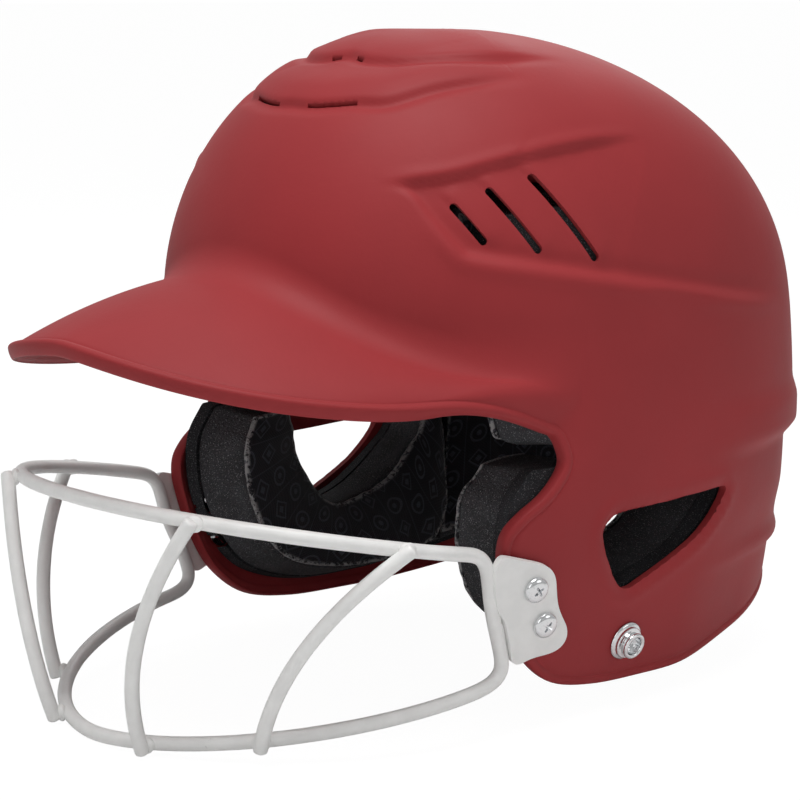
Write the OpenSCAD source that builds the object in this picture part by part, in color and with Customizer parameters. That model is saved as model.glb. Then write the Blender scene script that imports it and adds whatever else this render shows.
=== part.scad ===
// Batting helmet with a wire face guard, worn upright, in millimetres.
// +Z is up, the bill points to -Y and the wearer's left side is +X.
// The origin lies on the middle plane at brow height, in the middle of the head.
// Angles round the head: -90 is the front, 0 the left side, 90 the back.

/* [Shell] */
// Half of the shell's width at brow height
shell_half_width = 101; // [97:0.5:105]
// Reach of the dome in front of the origin, without the bill
shell_front = 121.5; // [118:0.5:125]
// Reach of the dome behind the origin, at its fullest height
shell_rear = 125.5; // [122:0.5:129]
// Height of the crown above the brow plane
crown_height = 96.5; // [93:0.5:100]
// How far the highest point lies in front of the origin
crown_forward = 18; // [12:1:24]
// Depth of the ear flaps below the brow plane
flap_depth = 132.5; // [129:0.5:136]
// Depth of the nape edge below the brow plane
nape_depth = 104; // [100:0.5:108]
// How far each ear flap curves in at its lower edge
flap_tuck = 14.5; // [10:0.5:18]
// Thickness of the moulded wall
wall = 3.5; // [3:0.1:4]
// Thickness of the rolled lip that follows every edge
lip = 4.8; // [4.3:0.1:5.4]
// Width of the rolled lip
lip_width = 4.5; // [3.5:0.1:5.5]

/* [Bill] */
// Distance from the origin to the front of the bill
bill_tip = 190; // [182:1:194]
// Half of the bill's width
bill_half_width = 97; // [94:0.5:99]
// Depth of the bill's front edge below the brow plane
bill_drop = 3.5; // [1:0.5:7]
// How far the bill's sides hang below its front edge
bill_side_drop = 22; // [18:0.5:25]
// How far the bill arches above a straight line from its root to its edge
bill_arch = 3; // [1:0.5:5]

/* [Openings in the shell] */
// Reach of the ear hole in front of and behind the origin
ear_hole_half_length = 33; // [29:0.5:35]
// Depth of the top of the ear hole below the brow plane
ear_hole_top = 65.5; // [63:0.5:68]
// Depth of the lowest corner of the ear hole below the brow plane
ear_hole_bottom = 97; // [93:0.5:100]
// Width of the three side vents
slot_width = 2.8; // [2:0.1:3.4]
// Length of each of the two vents over the forehead
front_vent_length = 20; // [16:0.5:22]
// Length of each of the two vents above them
upper_vent_length = 13; // [9:0.5:15]
// Height of these vents at their inner ends
vent_height = 3.2; // [2.4:0.1:4]

/* [Liner] */
// Thickness of the dense foam next to the shell
dense_foam = 6; // [5:0.5:8]
// Thickness of the soft foam of the ear pads
ear_foam = 23.5; // [22:0.5:26]
// Thickness of the soft foam over the temples
temple_foam = 19.5; // [16:0.5:22]
// Thickness of the soft foam at the brow
brow_foam = 13; // [10:0.5:15]
// Thickness of the soft foam at the back of the head
rear_foam = 13; // [12:0.5:17]
// Thickness of the soft foam under the crown
crown_foam = 15; // [11:0.5:17]
// How much the middle of each cushion swells above its edges
pad_crown = 3; // [2:0.5:5]
// Thickness of the fabric that faces each pad
fabric = 1.4; // [1:0.1:1.8]
// Clearance between neighbouring soft pieces
fit_gap = 0.5; // [0.3:0.05:0.7]

/* [Face guard] */
// Diameter of the coated wire
wire = 5; // [4.4:0.1:5.6]
// Distance from the origin to the front of the upper bar
guard_reach = 181; // [176:1:186]
// How far the upper bar bows out past the plates on each side
guard_bow = 2; // [0:0.5:4]
// Depth of the upper bar's front below the brow plane
guard_top = 56; // [52:1:60]
// Depth of the lower bar's front below the brow plane
guard_bottom = 138; // [134:1:142]
// How far the lower bar's front lies behind the upper bar's front
chin_setback = 4; // [0:1:8]
// Distance of the inner upright bars from the middle plane, at the top
inner_bar_top = 51; // [46:1:56]
// Distance of the inner upright bars from the middle plane, at the bottom
inner_bar_bottom = 24; // [20:1:28]
// How far the tops of the outer upright bars lie behind the front of the upper bar
outer_bar_setback = 62; // [50:1:68]
// Distance of the outer upright bars from the middle plane, at the bottom
outer_bar_bottom = 56; // [52:1:60]
// Thickness of the two mounting plates
plate_thickness = 2.5; // [2:0.1:3]

/* [Fasteners] */
// Thread diameter of the guard screws
screw_d = 5; // [4:0.5:5]
// Diameter of the screw heads
screw_head_d = 9.4; // [9:0.1:10]
// Distance between the two screws of one plate
screw_pitch = 15; // [14:0.5:16]
// Diameter of the flange of each nut
nut_flange_d = 11; // [10.5:0.5:12]
// Diameter of the base flange of the strap stud
stud_flange_d = 14.4; // [13:0.2:15]
// Diameter of the stud's socket ring
stud_ring_d = 9.8; // [9.2:0.1:10.4]
// Length of the stud's socket ring, outside the collar
stud_ring_length = 2.8; // [2.4:0.1:3.6]
// Diameter of the rivet that holds the stud
rivet_d = 4; // [3.5:0.1:4.5]

/* [Hidden] */
$fn = 32;

shell_red = "#a43a3e";
foam_dark = "#2a2b2d";
foam_grey = "#46484b";
fabric_black = "#16171b";
coat_white = "#e2e2e0";
chrome = "#c9ccd0";

// General helpers
function unit(v) = v / norm(v);
function lerp(a, b, t) = a + (b - a) * t;
function clamp(v, lo, hi) = min(hi, max(lo, v));
function ease(a, b, v) = let (t = clamp((v - a) / (b - a), 0, 1)) t * t * (3 - 2 * t);
function mirrored(p) = [-p.x, p.y, p.z];
function bezier(a, b, c, t) = a * (1 - t) * (1 - t) + b * (2 * t * (1 - t)) + c * (t * t);
function catmull(a, b, c, d, t) =
    0.5 * (2 * b + (c - a) * t + (2 * a - 5 * b + 4 * c - d) * t * t + (3 * b - a - 3 * c + d) * t * t * t);
// A point of the smooth curve through the stations, u counting stations from 0
function spline(st, u) =
    let (n = len(st) - 1, i = min(floor(u), n - 1), t = u - i,
        before = i == 0 ? 2 * st[0] - st[1] : st[i - 1],
        after = i + 2 > n ? 2 * st[n] - st[n - 1] : st[i + 2])
    catmull(before, st[i], st[i + 1], after, t);

// Bowl of the shell: horizontal sections are superellipses
fullest_rear_z = -40;
front_power_high = 2.17;
front_power_low = 3.35;
rear_power = 2.39;
square_z = -68;
tuck_start = 55;
front_tuck = 4;

function down(z) = pow(clamp((-z - tuck_start) / (flap_depth - tuck_start), 0, 1.2), 1.8);
function rise(z) = clamp(z / crown_height, 0, 1);
function half_width(z) = shell_half_width * pow(1 - pow(rise(z), 2.2), 1 / 2.26) - flap_tuck * down(z);
function front_reach(z) = shell_front * pow(1 - pow(rise(z), 1.91), 1 / 2.04) - front_tuck * down(z);
function rear_reach(z) =
    shell_rear * sqrt(1 - pow(clamp((z - fullest_rear_z) / (crown_height - fullest_rear_z), 0, 1), 2.08));
function front_power(z) = lerp(front_power_high, front_power_low, ease(0, square_z, z));
// The back swells at its fullest height, steps in below it, and again above the nape edge
function rear_inset(z) =
    5 * ease(-49, -57, z) - 2 * ease(-33, -42, z) + 1.2 * ease(-72, -86, z)
    - 1.5 * ease(-88, -93.7, z) + 2.6 * ease(-94.5, -99, z);
// The padding passes over these steps in one slope
function padding_inset(z) = 3.3 * ease(-20, -57, z) + 2.2 * ease(-57, -100, z);

// A point of the shell's outer face at an angle and a height
function bowl(a, z, stepped = true) =
    let (front = sin(a) < 0, long = max(0.001, front ? front_reach(z) : rear_reach(z)),
        wide = max(0.001, half_width(z)), n = front ? front_power(z) : rear_power,
        r = pow(pow(abs(cos(a)) / wide, n) + pow(abs(sin(a)) / long, n), -1 / n)
            - (stepped ? rear_inset(z) : padding_inset(z)) * ease(8, 38, a <= 90 ? a : 180 - a))
    [r * cos(a), r * sin(a) - crown_forward * pow(rise(z), 2.5), z];

function bowl_normal(a, z, stepped = true) =
    let (h = min(z, crown_height - 0.6), u = bowl(a + 0.3, h, stepped) - bowl(a - 0.3, h, stepped),
        v = bowl(a, h + 0.3, stepped) - bowl(a, h - 0.3, stepped))
    unit(cross(u, v));

// A point of the padding at a depth under the outer face
function under(a, z, d) = bowl(a, z, false) - d * bowl_normal(a, z, false);

// The angle at which the section at height z has this y, on the left side
function angle_at(y, z) =
    let (v = y + crown_forward * pow(rise(z), 2.5), front = v < 0,
        long = front ? front_reach(z) : rear_reach(z), n = front ? front_power(z) : rear_power)
    atan2(v, half_width(z) * pow(1 - pow(abs(v) / long, n), 1 / n));

// Edge of the shell from the middle of the bill back to the middle of the nape
bill_hinge = 55;
bill_power = 2.3;
bill_columns = 14;
cheek_drop = 12;
root_angle_end = -23;
function bill_edge(p) =
    [bill_half_width * pow(sin(p), 2 / bill_power),
        -bill_hinge - (bill_tip - bill_hinge) * pow(max(0, cos(p)), 2 / bill_power),
        -bill_drop - bill_side_drop * pow(sin(p), 1.3) - cheek_drop * pow(max(0, p - 70) / 20, 2.5)];

// Stations of the flap's edge: angle, height, and the angle of the meridian that runs into it
cheek_z = -46.5;
flap_lead_z = -75.5;
flap_lead_angle = -39.3;
bill_end = bill_edge(90);
edge_stations = [
    [atan2(bill_end.y, bill_end.x), bill_end.z, root_angle_end],
    [-28.4, cheek_z + 4.5, -22.8], [-27.9, cheek_z, -22.2], [-29.2, cheek_z - 5, -21.2],
    [-32, cheek_z - 10.8, -19.8], [-35.6, flap_lead_z + 13, -18.2], [-38.3, flap_lead_z + 7.2, -16.4],
    [flap_lead_angle, flap_lead_z, -14.4], [-38.9, flap_lead_z - 9.5, -12.2],
    [-37.5, -flap_depth + 32, -9.2], [-34.6, -flap_depth + 17, -6], [-27.9, -flap_depth + 5.5, -2],
    [-16.2, -flap_depth + 1, 3], [0, -flap_depth, 9], [15.6, -flap_depth + 0.3, 16],
    [32, lerp(-flap_depth, -nape_depth, 0.13), 27], [44, lerp(-flap_depth, -nape_depth, 0.28), 38],
    [57, lerp(-flap_depth, -nape_depth, 0.52), 52], [72, lerp(-flap_depth, -nape_depth, 0.84), 70],
    [90, -nape_depth, 90]];
flap_columns = 32;

// Root of the bill: the line where the dome turns out into the bill
root_high = 15;
root_fall = 33;
function root_z(a) = root_high - root_fall * (1 - cos(180 * clamp((a + 90) / 55, 0, 1))) / 2;

// One meridian of the outer face, from the crown to the start of the rolled lip
upper_rows = 8;
fillet_rows = 3;
lower_rows = 9;
root_blend = 11;
function lower_path(root_a, root, end, end_a, end_z, sheet, w) =
    let (on_bowl = bowl(lerp(root_a, end_a, pow(w, 2.8)), lerp(root.z, end_z, w))
            + pow(w, 1.5) * (end - bowl(end_a, end_z)),
        arched = lerp(root, end, w) + [0, 0, 4 * bill_arch * w * (1 - w)])
    lerp(on_bowl, arched, sheet);
function meridian(root_a, end, end_a, end_z, sheet) =
    let (rz = root_z(root_a), root = bowl(root_a, rz), zt = rz + root_blend,
        above = bowl(root_a, zt), blend_w = min(0.5, 13 / norm(end - root)),
        below = lower_path(root_a, root, end, end_a, end_z, sheet, blend_w))
    concat(
        [for (i = [1:upper_rows]) let (t = i / upper_rows)
            bowl(root_a, zt + (crown_height - zt) * cos(90 * t))],
        [for (i = [1:fillet_rows]) bezier(above, root, below, i / (fillet_rows + 1))],
        [for (i = [0:lower_rows]) lower_path(root_a, root, end, end_a, end_z, sheet,
            lerp(blend_w, 1, i / lower_rows))]);

// Edge points of one half with what their meridians need: point, angle, height, root angle, sheet share
bill_part = [for (i = [0:bill_columns]) let (p = 90 * i / bill_columns, e = bill_edge(p))
    [e, atan2(e.y, e.x), e.z, lerp(-90, root_angle_end, p / 90), 1 - ease(62, 90, p)]];
flap_part = [for (i = [1:flap_columns])
    let (s = spline(edge_stations, (len(edge_stations) - 1) * i / flap_columns))
    [bowl(s[0], s[1]), s[0], s[1], s[2], 0]];
half_edge = concat(bill_part, flap_part);
half_count = len(half_edge);

// Direction across the edge, pointing out of the sheet, and the sheet's normal there
function edge_tangent(i) =
    i == 0 ? [1, 0, 0] : i == half_count - 1 ? [-1, 0, 0] : unit(half_edge[i + 1][0] - half_edge[i - 1][0]);
function edge_out(i) =
    let (e = half_edge[i], t = edge_tangent(i), v = e[0] - bowl(e[3], root_z(e[3])),
        along_sheet = unit(v - (v * t) * t), along_bowl = unit(cross(t, bowl_normal(e[1], e[2]))))
    unit(lerp(along_bowl, along_sheet, e[4]));
function lip_start(i) = half_edge[i][0] - lip_width * edge_out(i);
function start_angle(i) = let (p = lip_start(i)) atan2(p.y, p.x);

// Cross-section of the rolled lip: distance back from the edge and height over the outer face
lip_section = [[0.45, 0.7], [0.12, 0.2], [0, -lip / 2], [0.12, 0.7 - lip], [0.45, 0.4 - lip]];

function half_outer(i) =
    let (e = half_edge[i], s = lip_start(i))
    meridian(e[3], s, start_angle(i), s.z, e[4]);
outer_half = [for (i = [0:half_count - 1]) half_outer(i)];
// All meridians round the head: the left half from front to back, then the right half back again
outer = concat(outer_half,
    [for (i = [half_count - 2:-1:1]) [for (p = outer_half[i]) mirrored(p)]]);
ring_count = len(outer);
row_count = len(outer[0]);
function left_index(i) = i < half_count ? i : 2 * (half_count - 1) - i;
function lip_row(i, k) =
    let (j = left_index(i), o = edge_out(j), n = unit(cross(edge_tangent(j), o)), c = lip_section[k],
        p = half_edge[j][0] - c[0] * lip_width * o - c[1] * n)
    i < half_count ? p : mirrored(p);
function grid_normal(i, k) =
    let (a = outer[(i + 1) % ring_count][k], b = outer[(i + ring_count - 1) % ring_count][k],
        c = outer[i][min(k + 1, row_count - 1)], d = outer[i][k == 0 ? 0 : k - 1],
        e = k == 0 ? [0, -crown_forward, crown_height] : d)
    unit(cross(a - b, e - c));
inner = [for (i = [0:ring_count - 1]) [for (k = [0:row_count - 1])
    outer[i][k] - wall * grid_normal(i, k)]];

module shell_body() {
    lips = len(lip_section);
    rows = 2 * row_count + lips;
    ring = [for (i = [0:ring_count - 1]) concat(
        [for (k = [0:row_count - 1]) outer[i][k]],
        [for (k = [0:lips - 1]) lip_row(i, k)],
        [for (k = [row_count - 1:-1:0]) inner[i][k]])];
    points = concat([for (r = ring) each r],
        [[0, -crown_forward, crown_height], [0, -crown_forward, crown_height - wall]]);
    top = ring_count * rows;
    faces = concat(
        [for (i = [0:ring_count - 1], k = [0:rows - 2])
            let (a = i * rows + k, b = ((i + 1) % ring_count) * rows + k)
            each [[a, b, b + 1], [a, b + 1, a + 1]]],
        [for (i = [0:ring_count - 1]) let (j = (i + 1) % ring_count)
            each [[top, j * rows, i * rows], [top + 1, i * rows + rows - 1, j * rows + rows - 1]]]);
    polyhedron(points, faces, convexity = 8);
}

// Puts the children at a place of the left side, given as y and z, their +Z along the outward normal
module on_shell(place, height = 0) {
    a = angle_at(place.x, place.y);
    n = bowl_normal(a, place.y);
    translate(bowl(a, place.y)) rotate([0, acos(n.z), atan2(n.y, n.x)]) translate([0, 0, height]) children();
}
module both_sides() {
    children();
    mirror([1, 0, 0]) children();
}

module round_slot(length, width) {
    cube([length, width, cut_depth], center = true);
    for (s = [-1, 1]) translate([s * length / 2, 0, 0]) cylinder(d = width, h = cut_depth, center = true);
}

// A straight vent with round ends between two places of the left side, each given as y and z
cut_depth = 16;
module vent(from, to, width) {
    mid = (from + to) / 2;
    a = angle_at(mid.x, mid.y);
    n = bowl_normal(a, mid.y);
    p = bowl(angle_at(from.x, from.y), from.y);
    q = bowl(angle_at(to.x, to.y), to.y);
    turn = [0, acos(n.z), atan2(n.y, n.x)];
    east = [cos(turn.z) * n.z, sin(turn.z) * n.z, -sin(turn.y)];
    north = [-sin(turn.z), cos(turn.z), 0];
    along = q - p;
    length = norm(along) - width;
    translate((p + q) / 2) rotate(turn) rotate([0, 0, atan2(along * north, along * east)]) {
        round_slot(length, width);
    }
}

// Corners of the ear hole seen from the side: y, z, corner radius
ear_corners = [[-ear_hole_half_length, -ear_hole_top - 1.2, 8],
    [ear_hole_half_length, -ear_hole_top + 0.6, 3],
    [ear_hole_half_length * 0.67, -lerp(ear_hole_top, ear_hole_bottom, 0.48), 14],
    [-ear_hole_half_length * 0.58, -ear_hole_bottom, 5]];
function corner_points(a, b, c, r) =
    let (u = unit([a.x - b.x, a.y - b.y]), v = unit([c.x - b.x, c.y - b.y]), half = acos(u * v) / 2,
        m = [b.x, b.y] + unit(u + v) * r / sin(half), start = -unit(u + v), sweep = 90 - half,
        side = cross([u.x, u.y, 0], [v.x, v.y, 0]).z > 0 ? -1 : 1)
    [for (k = [-4:4]) let (t = side * sweep * k / 4)
        m + r * [start.x * cos(t) - start.y * sin(t), start.x * sin(t) + start.y * cos(t)]];
function rounded(c, grow) = [for (i = [0:len(c) - 1])
    each corner_points(c[(i + len(c) - 1) % len(c)], c[i], c[(i + 1) % len(c)], c[i][2] + grow)];
// An outline given as y and z, pushed from x_from to x_to
module side_prism(outline, x_from, x_to) {
    translate([x_from, 0, 0]) rotate([90, 0, 90]) linear_extrude(x_to - x_from) polygon(outline);
}

hole_clearance = 0.25;
stud_place = [-13.6, -116.2];

// Flat seat of the guard plate: a frame with its origin on the flap, +Z out of the flap, +Y up
// along the front edge and +X to the rear
seat_place = [-58.4, -96.2];
seat_lean = 22.7;
seat_angle = angle_at(seat_place.x, seat_place.y);
seat_origin = bowl(seat_angle, seat_place.y);
seat_normal = bowl_normal(seat_angle, seat_place.y);
seat_turn = [0, acos(seat_normal.z), atan2(seat_normal.y, seat_normal.x)];
seat_level = [-sin(seat_turn.z), cos(seat_turn.z), 0];
seat_steep = cross(seat_normal, seat_level);
seat_x = cos(seat_lean) * seat_level + sin(seat_lean) * seat_steep;
seat_y = cross(seat_normal, seat_x);
function seat_point(p) = seat_origin + p.x * seat_x + p.y * seat_y + p.z * seat_normal;
// How far the flap curves in under a flat seat, at places a radius round a point of the seat
function seat_sag(p, radius, origin, normal, x, y) = [for (t = [0:30:330])
    let (q = origin + (p.x + radius * cos(t)) * x + (p.y + radius * sin(t)) * y)
    -((bowl(angle_at(q.y, q.z), q.z) - origin) * normal)];
screw_row = [for (s = [-1, 1]) [-1.3, 2.2 + s * screw_pitch / 2]];
module on_seat(p = [0, 0], height = 0) {
    translate(seat_origin) rotate(seat_turn) rotate([0, 0, 90 + seat_lean])
        translate([p.x, p.y, height]) children();
}
module screw_holes() {
    for (p = screw_row) on_seat(p) cylinder(d = screw_d + 2 * hole_clearance, h = cut_depth, center = true);
}

module shell() color(shell_red) difference() {
    shell_body();
    side_prism(rounded(ear_corners, 0), -shell_half_width - 20, shell_half_width + 20);
    both_sides() {
        vent([-78.4, 40.8], [-71.6, 27.8], slot_width);
        vent([-66.7, 45.8], [-54.5, 24.5], slot_width);
        vent([-51.7, 49.9], [-33.7, 21], slot_width);
        screw_holes();
        on_shell(stud_place) cylinder(d = rivet_d + 2 * hole_clearance, h = cut_depth, center = true);
        front_vent(front_vent_z, front_vent_turn, front_vent_length);
        front_vent(upper_vent_z, upper_vent_turn, upper_vent_length);
    }
}

// Vents over the forehead, a lower and an upper pair. Each narrows from its inner end outward.
front_vent_z = 72.8;
front_vent_turn = 6.6;
upper_vent_z = 88.4;
upper_vent_turn = 7.2;
vent_tip = 1.8;
module front_vent(z, turn, length) {
    a = -90 + turn;
    n = bowl_normal(a, z);
    reach = length - vent_height / 2 - vent_tip / 2;
    translate(bowl(a, z)) rotate([0, acos(n.z), atan2(n.y, n.x)]) rotate([0, 0, 90]) {
        cylinder(d = vent_height, h = cut_depth, center = true);
        linear_extrude(cut_depth, center = true) polygon([[0, vent_height / 2], [reach, vent_tip / 2],
            [reach, -vent_tip / 2], [0, -vent_height / 2]]);
        translate([reach, 0, 0]) cylinder(d = vent_tip, h = cut_depth, center = true);
    }
}

// Faces of a row of rings, each of the same count; the first and last are closed over a middle point,
// or joined to each other
function ring_faces(rings, count, closed) = concat(
    [for (i = [0:rings - (closed ? 1 : 2)], k = [0:count - 1])
        let (a = i * count, b = ((i + 1) % rings) * count, j = (k + 1) % count)
        each [[a + k, b + k, b + j], [a + k, b + j, a + j]]],
    closed ? [] : [for (k = [0:count - 1]) let (j = (k + 1) % count, last = (rings - 1) * count)
        each [[rings * count, k, j], [rings * count + 1, last + j, last + k]]]);
module ring_solid(rings, closed = false) {
    ends = closed ? [] : [mean_point(rings[0]), mean_point(rings[len(rings) - 1])];
    points = concat([for (r = rings) each r], ends);
    polyhedron(points, ring_faces(len(rings), len(rings[0]), closed), convexity = 8);
}
function mean_point(r) = [for (c = [0:2]) [for (p = r) p[c]] * [for (p = r) 1] / len(r)];

// Padding. A layer lies along the inside of the shell between two outlines of equal stations, each given
// as angle and height. Its section is a list of points: share of the way across, and depth under the outer
// face. Its ends are drawn in like its sides, and its front leans forward as it gets deeper.
// The shell is smooth inside at the brow and crown, and less so at the temples, the ears and the back
liner_depth = wall + 0.8;
temple_depth = liner_depth + 0.6;
ear_depth = liner_depth + 0.9;
rear_depth = liner_depth + 0.9;
function soft_depth(base) = base + dense_foam + fit_gap;
end_draw = 0.1;
ear_lean = 0.12;
temple_lean = 0.6;
function side(list) = [for (p = list) [angle_at(p.x, p.y), p.y]];
function layer_point(q, depth, extra, lean) = let (p = under(q[0], q[1], depth))
    p - [0, lean * extra * ease(-15, -45, p.y), 0];
function layer_rings(from, to, section, base, columns, draw, lean) =
    [for (i = [0:columns])
        let (u = i / columns, last = len(from) - 1, a = spline(from, u * last), b = spline(to, u * last),
            full = 1 - draw * (1 - ease(0, 0.1, u) * ease(1, 0.9, u)))
        [for (c = section) let (extra = (c[1] - base) * full)
            layer_point(lerp(a, b, c[0]), base + extra, extra, lean)]];
module layer(from, to, section, base, columns, draw = 0, lean = 0) {
    ring_solid(layer_rings(from, to, section, base, columns, draw, lean));
}
function flat_section(base, thick, steps = 2) = concat(
    [for (i = [0:steps]) [i / steps, base]],
    [for (i = [steps:-1:0]) [i / steps, base + thick]]);
// The face of a cushion swells between its shoulders; a dip draws it in along its middle
shoulder = 0.04;
dip_width = 0.1;
function cushion_face(base, thick, dip = 0, steps = 4) = [for (i = [0:steps])
    let (t = lerp(1 - shoulder, shoulder, i / steps), across = abs(2 * t - 1) / (1 - 2 * shoulder))
    [t, base + thick + pad_crown * (1 - pow(across, 2.4)) - dip * exp(-pow((t - 0.5) / dip_width, 2))]];
// The sides of a cushion are drawn in halfway up
function cushion_section(base, thick, face, steps = 2) = concat(
    [for (i = [0:steps]) [clamp(i / steps, 0.01, 0.99), base]],
    [[0.965, base + 0.5 * thick], [0.995, base + 0.88 * thick]], face,
    [[0.005, base + 0.88 * thick], [0.035, base + 0.5 * thick]]);
// The fabric lies on the face of its cushion
function face_section(face) = concat(
    [for (k = [len(face) - 1:-1:0]) [face[k][0], face[k][1] + fit_gap]],
    [for (f = face) [f[0], f[1] + fit_gap + fabric]]);

// Ear pads: a horseshoe round the ear opening, from its outer outline to its inner one
ear_outer = side([[-62, -48.5], [-70, -59], [-72.5, -72], [-71, -86], [-64.5, -101], [-52.5, -115],
    [-36, -122.5], [-18, -126], [2, -126.5], [20, -125.5], [38, -120], [47.5, -105], [49, -85], [48.5, -67],
    [47, -48.5]]);
ear_inner = side([[-38, -48.5], [-37.5, -57], [-37, -65], [-35.5, -73], [-32, -81], [-28.5, -88], [-24, -94],
    [-18, -96.5], [-8, -94.5], [4, -90.5], [16, -84], [26, -77], [34, -69.5], [36, -60], [36, -48.5]]);
ear_columns = 22;
pocket = 1;
ear_soft = soft_depth(ear_depth);
module ear_liner_left() color(foam_dark) difference() {
    layer(ear_inner, ear_outer, flat_section(ear_depth, dense_foam), ear_depth, ear_columns);
    for (p = screw_row) on_seat(p) cylinder(d = nut_flange_d + 2 * pocket, h = 2 * ear_soft, center = true);
    on_shell(stud_place) cylinder(d = rivet_head_d + 2 * pocket, h = 2 * ear_soft, center = true);
}
ear_face = cushion_face(ear_soft, ear_foam);
ear_section = cushion_section(ear_soft, ear_foam, ear_face);
module ear_pad_left() color(foam_grey)
    layer(ear_inner, ear_outer, ear_section, ear_soft, ear_columns, end_draw, ear_lean);
module ear_cover_left() color(fabric_black)
    layer(ear_inner, ear_outer, face_section(ear_face), ear_soft, ear_columns, end_draw, ear_lean);

// Temple pads, above the ear pads and behind the cheek
temple_low = [[-36, -10], [-32.5, -22], [-29.5, -32], [-26.5, -42], [-15, -46], [0, -46.5], [15, -46.5],
    [29, -45.5]];
temple_high = [[-37, 38], [-33, 40], [-28, 41], [-20, 41], [-10, 41], [3, 41], [17, 40], [30, 38]];
temple_columns = 10;
temple_face = cushion_face(temple_depth, temple_foam);
temple_section = cushion_section(temple_depth, temple_foam, temple_face);
module temple_pad_left() color(foam_grey)
    layer(temple_high, temple_low, temple_section, temple_depth, temple_columns, end_draw, temple_lean);
module temple_cover_left() color(fabric_black) layer(temple_high, temple_low,
    face_section(temple_face), temple_depth, temple_columns, end_draw, temple_lean);

// Brow padding, across the forehead
brow_half_angle = 42;
brow_low = [for (a = [-1:0.25:1]) [-90 + brow_half_angle * a, 7 - 8 * a * a]];
brow_high = [for (a = [-1:0.25:1]) [-90 + brow_half_angle * a, 50]];
brow_columns = 14;
brow_soft = soft_depth(liner_depth);
brow_face = cushion_face(brow_soft, brow_foam);
brow_section = cushion_section(brow_soft, brow_foam, brow_face);
module brow_liner() color(foam_dark)
    layer(brow_high, brow_low, flat_section(liner_depth, dense_foam), liner_depth, brow_columns);
module brow_pad() color(foam_grey)
    layer(brow_high, brow_low, brow_section, brow_soft, brow_columns, end_draw);
module brow_cover() color(fabric_black)
    layer(brow_high, brow_low, face_section(brow_face), brow_soft, brow_columns, end_draw);

// Padding at the back of the head
rear_half_angle_low = 62;
rear_half_angle_high = 54;
rear_margin = 6;
rear_side_drop = 24;
rear_low = [for (a = [-1:0.25:1]) [90 + rear_half_angle_low * a,
    -nape_depth + rear_margin - rear_side_drop * pow(abs(a), 1.25)]];
rear_high = [for (a = [-1:0.25:1]) [90 + rear_half_angle_high * a, 34]];
rear_columns = 20;
rear_rows = 12;
channel = 3.5;
rear_soft = soft_depth(rear_depth);
rear_face = cushion_face(rear_soft, rear_foam, channel, 8);
rear_section = cushion_section(rear_soft, rear_foam, rear_face, rear_rows);
module rear_liner() color(foam_dark) layer(rear_high, rear_low,
    flat_section(rear_depth, dense_foam, rear_rows), rear_depth, rear_columns);
module rear_pad() color(foam_grey)
    layer(rear_high, rear_low, rear_section, rear_soft, rear_columns, end_draw);
module rear_cover() color(fabric_black)
    layer(rear_high, rear_low, face_section(rear_face), rear_soft, rear_columns, end_draw);

// Crown pad: a round cushion under the top of the dome, built in rings round the highest point
crown_pad_edge_z = 63;
crown_columns = 24;
crown_inner_z = 95.5;
function crown_ring(share, depth) = [for (i = [0:crown_columns - 1])
    under(360 * i / crown_columns, lerp(crown_pad_edge_z, crown_inner_z, 1 - share), depth)];
module crown_rings(list) {
    ring_solid([for (k = [len(list) - 1:-1:0]) crown_ring(list[k][0], list[k][1])]);
}
crown_face = liner_depth + crown_foam;
module crown_pad() color(foam_grey) crown_rings([[0.02, liner_depth], [0.5, liner_depth], [0.97, liner_depth],
    [0.92, liner_depth + 0.5 * crown_foam], [0.96, liner_depth + 0.85 * crown_foam], [0.85, crown_face],
    [0.5, crown_face + 0.8 * pad_crown], [0.02, crown_face + pad_crown]]);
cover_face = crown_face + fit_gap;
module crown_cover() color(fabric_black) crown_rings([[0.02, cover_face + pad_crown],
    [0.5, cover_face + 0.8 * pad_crown], [0.85, cover_face], [0.85, cover_face + fabric],
    [0.5, cover_face + 0.8 * pad_crown + fabric], [0.02, cover_face + pad_crown + fabric]]);

// Face guard. The side wires run along the front edge of the plates, and the bars lie outside the loop.
wire_sides = 10;
guard_centre = [0, -80, 0];
upper_power = 2.15;
lower_power = 1.75;
upper_corner = seat_point([-13.2, 28.6, -1.4]);
lower_corner = seat_point([-20.6, -18.6, 1.2]);
upper_centre_y = -100;
lower_centre_y = -80;
upper_half = upper_corner.x + guard_bow;
lower_half = lower_corner.x;
bend = 7;

function arc_angle(x, half, power) = asin(pow(x / half, power / 2));
function setback_angle(back) = let (reach = guard_reach + upper_centre_y)
    acos(pow((reach - back) / reach, upper_power / 2));
function upper_bar(p) =
    let (y = upper_centre_y - (guard_reach + upper_centre_y) * pow(cos(p), 2 / upper_power))
    [upper_half * pow(sin(p), 2 / upper_power), y, upper_z(y)];
function upper_z(y) =
    -guard_top + (upper_corner.z + guard_top) * pow((guard_reach + y) / (guard_reach + upper_corner.y), 1.1);
function lower_bar(p) =
    let (y = lower_centre_y - (guard_reach - chin_setback + lower_centre_y) * pow(cos(p), 2 / lower_power))
    [lower_half * pow(sin(p), 2 / lower_power), y,
        lerp(-guard_bottom, lower_corner.z - 1.4, (y + guard_reach - chin_setback)
            / (lower_centre_y + guard_reach - chin_setback))];

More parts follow.
